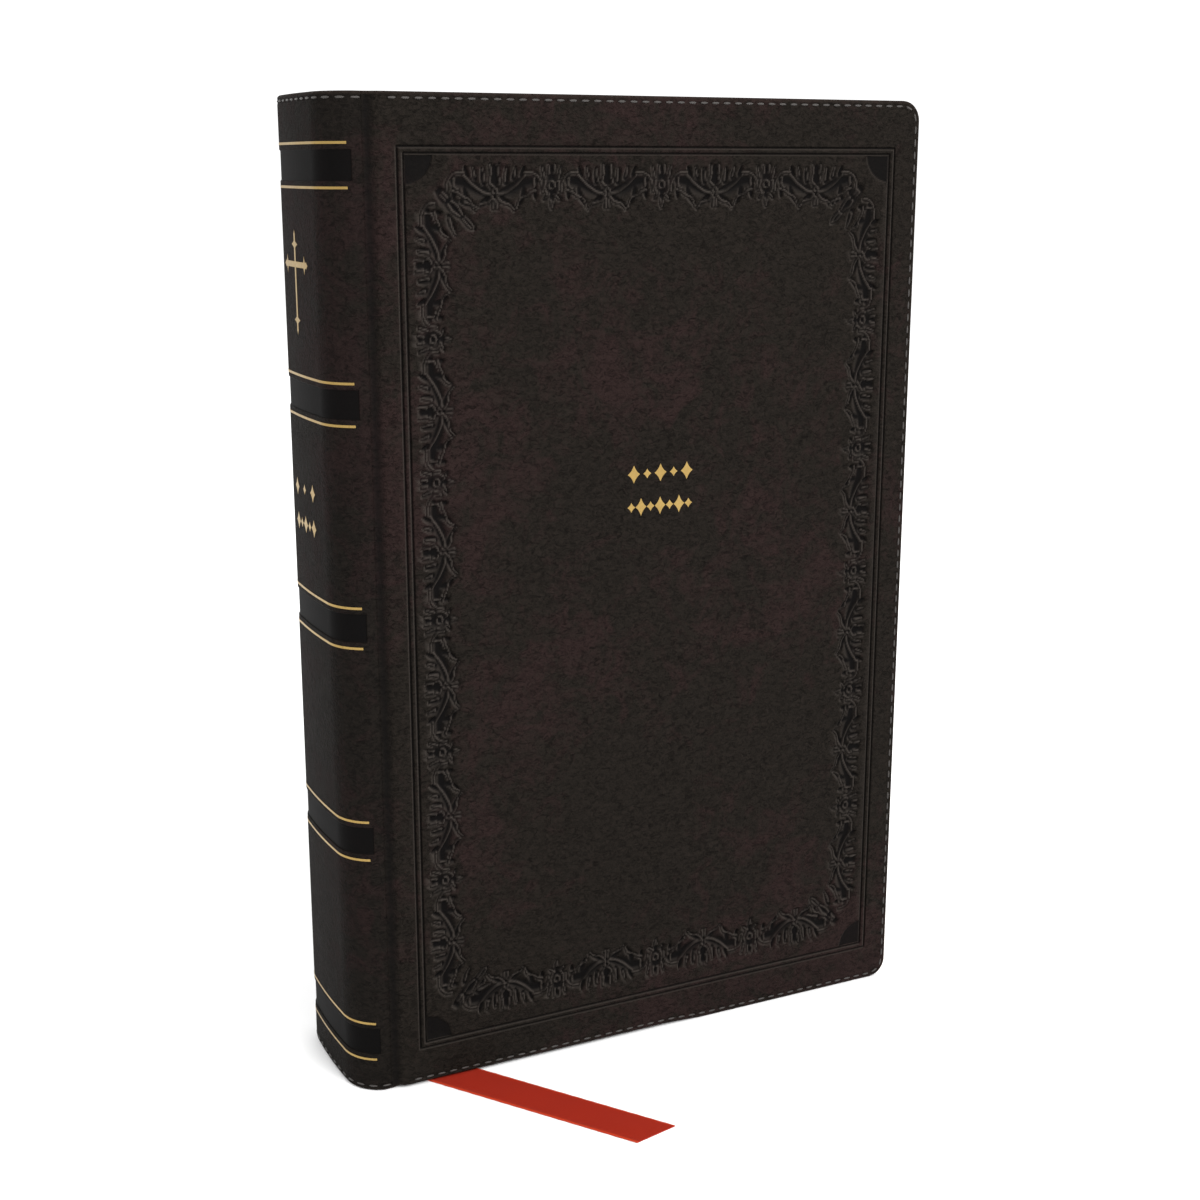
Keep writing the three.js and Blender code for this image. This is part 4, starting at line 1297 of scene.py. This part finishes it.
def foil_lozenge(bm, run, z, half_run, half_z):
    """A lozenge of foil with slightly hollow sides."""
    made = bmesh.ops.create_circle(bm, cap_ends=True, segments=16, radius=1)["verts"]
    for vert in made:
        angle = math.atan2(vert.co.y, vert.co.x)
        reach = 1 / (abs(math.cos(angle)) ** 0.8 + abs(math.sin(angle)) ** 0.8) ** 1.25
        vert.co = (run + half_run * reach * math.cos(angle), z + half_z * reach * math.sin(angle), FOIL_TOP)
    faces = list({f for v in made for f in v.link_faces})
    lower = bmesh.ops.extrude_face_region(bm, geom=faces)["geom"]
    under = [g for g in lower if isinstance(g, bmesh.types.BMVert)]
    bmesh.ops.translate(bm, verts=under, vec=(0, 0, FOIL_FOOT - FOIL_TOP))


def lozenge_row(bm, middle, z, places, big, small, lead):
    """A row of lozenges, by turns big and small, whose first is big if it leads and small if not."""
    for i, run in enumerate(places):
        width, height = big if (i % 2 == 0) == lead else small
        foil_lozenge(bm, middle + run, z, width, height)


class BIBLE_OT_stamping(bpy.types.Operator):
    """Stamps the gold: the spine's rules and cross, and two rows of ornament on the front cover"""

    bl_idname = "bible.stamping"
    bl_label = "Gold Stamping"

    def lay_foil(self, name, bm, body):
        bmesh.ops.recalc_face_normals(bm, faces=bm.faces)
        obj = piece(name, bm, [finish_named("foil", foil_finish)])
        flat = coordinates(obj.data)
        place_points(obj.data, lay_on_case(flat[:, 0], flat[:, 1], -flat[:, 2]))
        sharpen(obj)
        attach(obj, body)

    def execute(self, context):
        bm = bmesh.new()
        end = run_at(RULE_END_X)
        for centre in SPINE_BANDS:
            for side in (-1, 1):
                z = centre + side * RULE_OFFSET
                foil_bar(bm, 2 * MIDDLE_RUN - end, end, z - RULE_WIDTH / 2, z + RULE_WIDTH / 2)
        self.lay_foil("spine_gold_rules", bm, "root")

        bm = bmesh.new()
        middle = run_at_depth(CROSS_Y)
        foil_bar(bm, middle - CROSS_HALF_SHAFT, middle + CROSS_HALF_SHAFT, CROSS_FOOT, CROSS_HEAD)
        arm_low, arm_high = CROSS_ARM_Z - CROSS_HALF_ARM, CROSS_ARM_Z + CROSS_HALF_ARM
        foil_bar(bm, middle - CROSS_ARM_REACH, middle - 0.5, arm_low, arm_high)
        foil_bar(bm, middle + 0.5, middle + CROSS_ARM_REACH, arm_low, arm_high)
        # Each arm ends in a bud, crossed by a pointed leaf.
        for end_z, inward in ((CROSS_HEAD, -2.1), (CROSS_FOOT, 2.1)):
            foil_lozenge(bm, middle, end_z, 0.55, 0.9)
            foil_lozenge(bm, middle, end_z + inward, 2.0, 1.1)
        for side in (-1, 1):
            foil_lozenge(bm, middle + side * CROSS_ARM_REACH, CROSS_ARM_Z, 0.9, 0.8)
            foil_lozenge(bm, middle + side * (CROSS_ARM_REACH - 1.2), CROSS_ARM_Z, 0.9, 1.9)
        self.lay_foil("spine_gold_cross", bm, "root")

        bm = bmesh.new()
        for number, (z, count, first, last) in enumerate(COVER_ROWS):
            big = (1.5, 2.0) if number == 0 else (1.35, 2.0)
            lozenge_row(bm, 0.0, z, np.linspace(first, last, count), big, (1.0, 1.1), number == 0)
        self.lay_foil("cover_gold_ornament", bm, "front_cover")

        bm = bmesh.new()
        for z, count in SPINE_ROWS:
            places = np.linspace(-SPINE_ROW_REACH, SPINE_ROW_REACH, count)
            lozenge_row(bm, middle, z, places, (1.5, 1.9), (1.0, 1.1), True)
        self.lay_foil("spine_gold_ornament", bm, "root")
        return {"FINISHED"}


def fore_edge_at(y):
    """The fore-edge of the hollowed block at a y."""
    hollow = BLOCK_RISE - (BLOCK_RADIUS - math.sqrt(BLOCK_RADIUS**2 - y**2))
    return FORE_X - FORE_SQUARE - hollow


# How far into the block the leaves bend as they turn, and where the leaf next to the cover lies
GUTTER_BEND = 13.0
BUNDLE_Y, FLYLEAF_Y, PASTEDOWN_Y = 16.0, 16.9, 17.2
PASTEDOWN_THICKNESS = 0.2


class BIBLE_OT_leaves(bpy.types.Operator):
    """Makes the endpapers, the flyleaves and the outer leaves"""

    bl_idname = "bible.leaves"
    bl_label = "Turning Leaves"

    def sheet(self, bm, start, end, low, high, y0, y1):
        """One leaf as a thin closed sheet, with close columns towards its gutter end."""
        columns = start + (end - start) * np.linspace(0, 1, 46) ** 2.2
        verts = grid(bm, columns, np.array([low, high]))
        faces = list({face for vert in verts for face in vert.link_faces})
        lower = bmesh.ops.extrude_face_region(bm, geom=faces)["geom"]
        for vert in verts:
            vert.co = (vert.co.x, y0, vert.co.y)
        for vert in (g for g in lower if isinstance(g, bmesh.types.BMVert)):
            vert.co = (vert.co.x, y1, vert.co.y)

    def bind(self, name, bm, finishes, slot, body, y, reach, replaced):
        bmesh.ops.recalc_face_normals(bm, faces=bm.faces)
        for face in bm.faces:
            face.material_index = 0 if abs(face.normal.y) > 0.5 or len(finishes) == 1 else 1
        obj = piece(name, bm, finishes)
        place_points(obj.data, coordinates(obj.data))
        sharpen(obj)
        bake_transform(obj)
        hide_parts(*replaced)

    def execute(self, context):
        settings = context.scene.bible_text_block
        paper = finish_named("paper", lambda: paper_finish("bible_paper", settings.paper_colour, True))
        endpaper = finish_named("endpaper", lambda: paper_finish("ivory_endpaper", linear("#e9dfc8"), True))
        gilt = finish_named("gilt", lambda: gilt_finish(settings.edge_colour))
        count = settings.leaves_per_bundle
        bend = (HINGE_X + 0.1, HINGE_X + GUTTER_BEND)
        for side, sign, bundles in (("front", -1, 4), ("back", 1, 3)):
            for number in range(1, bundles + 1):
                node = f"{side}_leaves_{number}"
                low, high = (np.array(c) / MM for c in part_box(node))
                pitch = (high[1] - low[1]) / count
                bm = bmesh.new()
                for i in range(count):
                    y0 = low[1] + i * pitch
                    y1 = y0 + pitch * 0.82
                    self.sheet(bm, HINGE_X - 0.6, fore_edge_at((y0 + y1) / 2), BLOCK_TAIL, BLOCK_HEAD, y0, y1)
                self.bind(f"{side}_leaf_bundle_{number}", bm, [paper, gilt], "page", node, sign * BUNDLE_Y,
                          bend, [node])
            node = f"{side}_flyleaf"
            low, high = (np.array(c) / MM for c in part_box(node))
            fore = fore_edge_at(FLYLEAF_Y)
            bm = bmesh.new()
            self.sheet(bm, HINGE_X - 0.6, fore, BLOCK_TAIL, BLOCK_HEAD, low[1], high[1])
            self.bind(f"{side}_free_endpaper", bm, [endpaper, gilt], "endpaper", node, sign * FLYLEAF_Y, bend,
                      [node])
            node = f"{side}_pastedown"
            low, high = (np.array(c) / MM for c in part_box(node))
            inner = high[1] if side == "front" else low[1]
            y0, y1 = sorted((inner, inner + sign * PASTEDOWN_THICKNESS))
            bm = bmesh.new()
            self.sheet(bm, HINGE_X - 0.9, high[0], low[2], high[2], y0, y1)
            self.bind(f"{side}_pasted_endpaper", bm, [endpaper], "endpaper", f"{side}_cover",
                      sign * PASTEDOWN_Y, (HINGE_X - 0.7, HINGE_X + 0.7), [node])
        return {"FINISHED"}


class BIBLE_OT_text_block(bpy.types.Operator):
    """Finishes the sewn sections and their glued gutters"""

    bl_idname = "bible.text_block"
    bl_label = "Text Block"

    def execute(self, context):
        settings = context.scene.bible_text_block
        section = finish_named("section", lambda: block_finish(settings.paper_colour, settings.edge_colour))
        for name, node in frame["nodes"].items():
            if name.startswith("text_section") or name.endswith("_gutter"):
                node.material_slots[0].material = section
        return {"FINISHED"}


class BIBLE_OT_headbands(bpy.types.Operator):
    """Works the striped headbands at the two ends of the block's back"""

    bl_idname = "bible.headbands"
    bl_label = "Headbands"

    def execute(self, context):
        silk = finish_named("headband", headband_finish)
        for node in ("headband", "tailband"):
            low, high = (np.array(c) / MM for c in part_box(node))
            half = (high[1] - low[1]) / 2
            bm = bmesh.new()
            bmesh.ops.create_cone(bm, cap_ends=True, segments=12, radius1=1, radius2=1, depth=2)
            sides = [e for e in bm.edges if abs(e.verts[0].co.z - e.verts[1].co.z) > 1]
            bmesh.ops.subdivide_edges(bm, edges=sides, cuts=40)
            obj = piece(node + "_silk", bm, [silk])
            flat = coordinates(obj.data)
            centre_x = BLOCK_BACK_X + BLOCK_RADIUS
            angle = flat[:, 2] * math.asin(half / BLOCK_RADIUS)
            wall = BLOCK_RADIUS - 0.5 + flat[:, 0] * 0.78
            z = (low[2] + high[2]) / 2 + flat[:, 1] * (high[2] - low[2]) / 2
            points = np.stack([centre_x - wall * np.cos(angle), -wall * np.sin(angle), z], axis=1)
            place_points(obj.data, points)
            bm = bmesh.new()
            bm.from_mesh(obj.data)
            bmesh.ops.recalc_face_normals(bm, faces=bm.faces)
            bm.to_mesh(obj.data)
            bm.free()
            sharpen(obj)
            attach(obj, "root")
            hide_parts(node)
        return {"FINISHED"}


class BIBLE_OT_linings(bpy.types.Operator):
    """Finishes the boards, the spine's stiffener, the mull and the sewing"""

    bl_idname = "bible.linings"
    bl_label = "Boards and Linings"

    def execute(self, context):
        board = finish_named("board", board_finish)
        mull = finish_named("mull", mull_finish)
        linen = finish_named("linen", lambda: thread_finish("linen_sewing_thread", "#efe9da", "#b9b09a"))
        for node, finish in (("front_board", board), ("back_board", board), ("spine_stiffener", board),
                             ("spine_mull", mull), ("sewing_thread", linen)):
            frame["nodes"][node].material_slots[0].material = finish
        return {"FINISHED"}


OPERATORS = (
    BIBLE_OT_stage, BIBLE_OT_ribbon, BIBLE_OT_covers, BIBLE_OT_spine, BIBLE_OT_stitching, BIBLE_OT_stamping,
    BIBLE_OT_leaves, BIBLE_OT_text_block, BIBLE_OT_headbands, BIBLE_OT_linings,
)


class BIBLE_PT_panel(bpy.types.Panel):
    """Lists the bible's settings and the steps that build it"""

    bl_idname = "BIBLE_PT_panel"
    bl_label = "Bible"
    bl_space_type = "VIEW_3D"
    bl_region_type = "UI"
    bl_category = "Bible"

    def draw(self, context):
        scene = context.scene
        for group in (scene.bible_binding, scene.bible_text_block, scene.bible_ribbon):
            for name in group.__annotations__:
                self.layout.prop(group, name)
        for operator in OPERATORS:
            self.layout.operator(operator.bl_idname)


CLASSES = (BindingSettings, TextBlockSettings, RibbonSettings, *OPERATORS, BIBLE_PT_panel)


def register():
    for item in CLASSES:
        bpy.utils.register_class(item)
    bpy.types.Scene.bible_binding = bpy.props.PointerProperty(type=BindingSettings)
    bpy.types.Scene.bible_text_block = bpy.props.PointerProperty(type=TextBlockSettings)
    bpy.types.Scene.bible_ribbon = bpy.props.PointerProperty(type=RibbonSettings)


def unregister():
    del bpy.types.Scene.bible_ribbon
    del bpy.types.Scene.bible_text_block
    del bpy.types.Scene.bible_binding
    for item in reversed(CLASSES):
        bpy.utils.unregister_class(item)


def main():
    register()
    for operator in OPERATORS:
        family, name = operator.bl_idname.split(".")
        getattr(getattr(bpy.ops, family), name)()


if __name__ == "__main__":
    main()
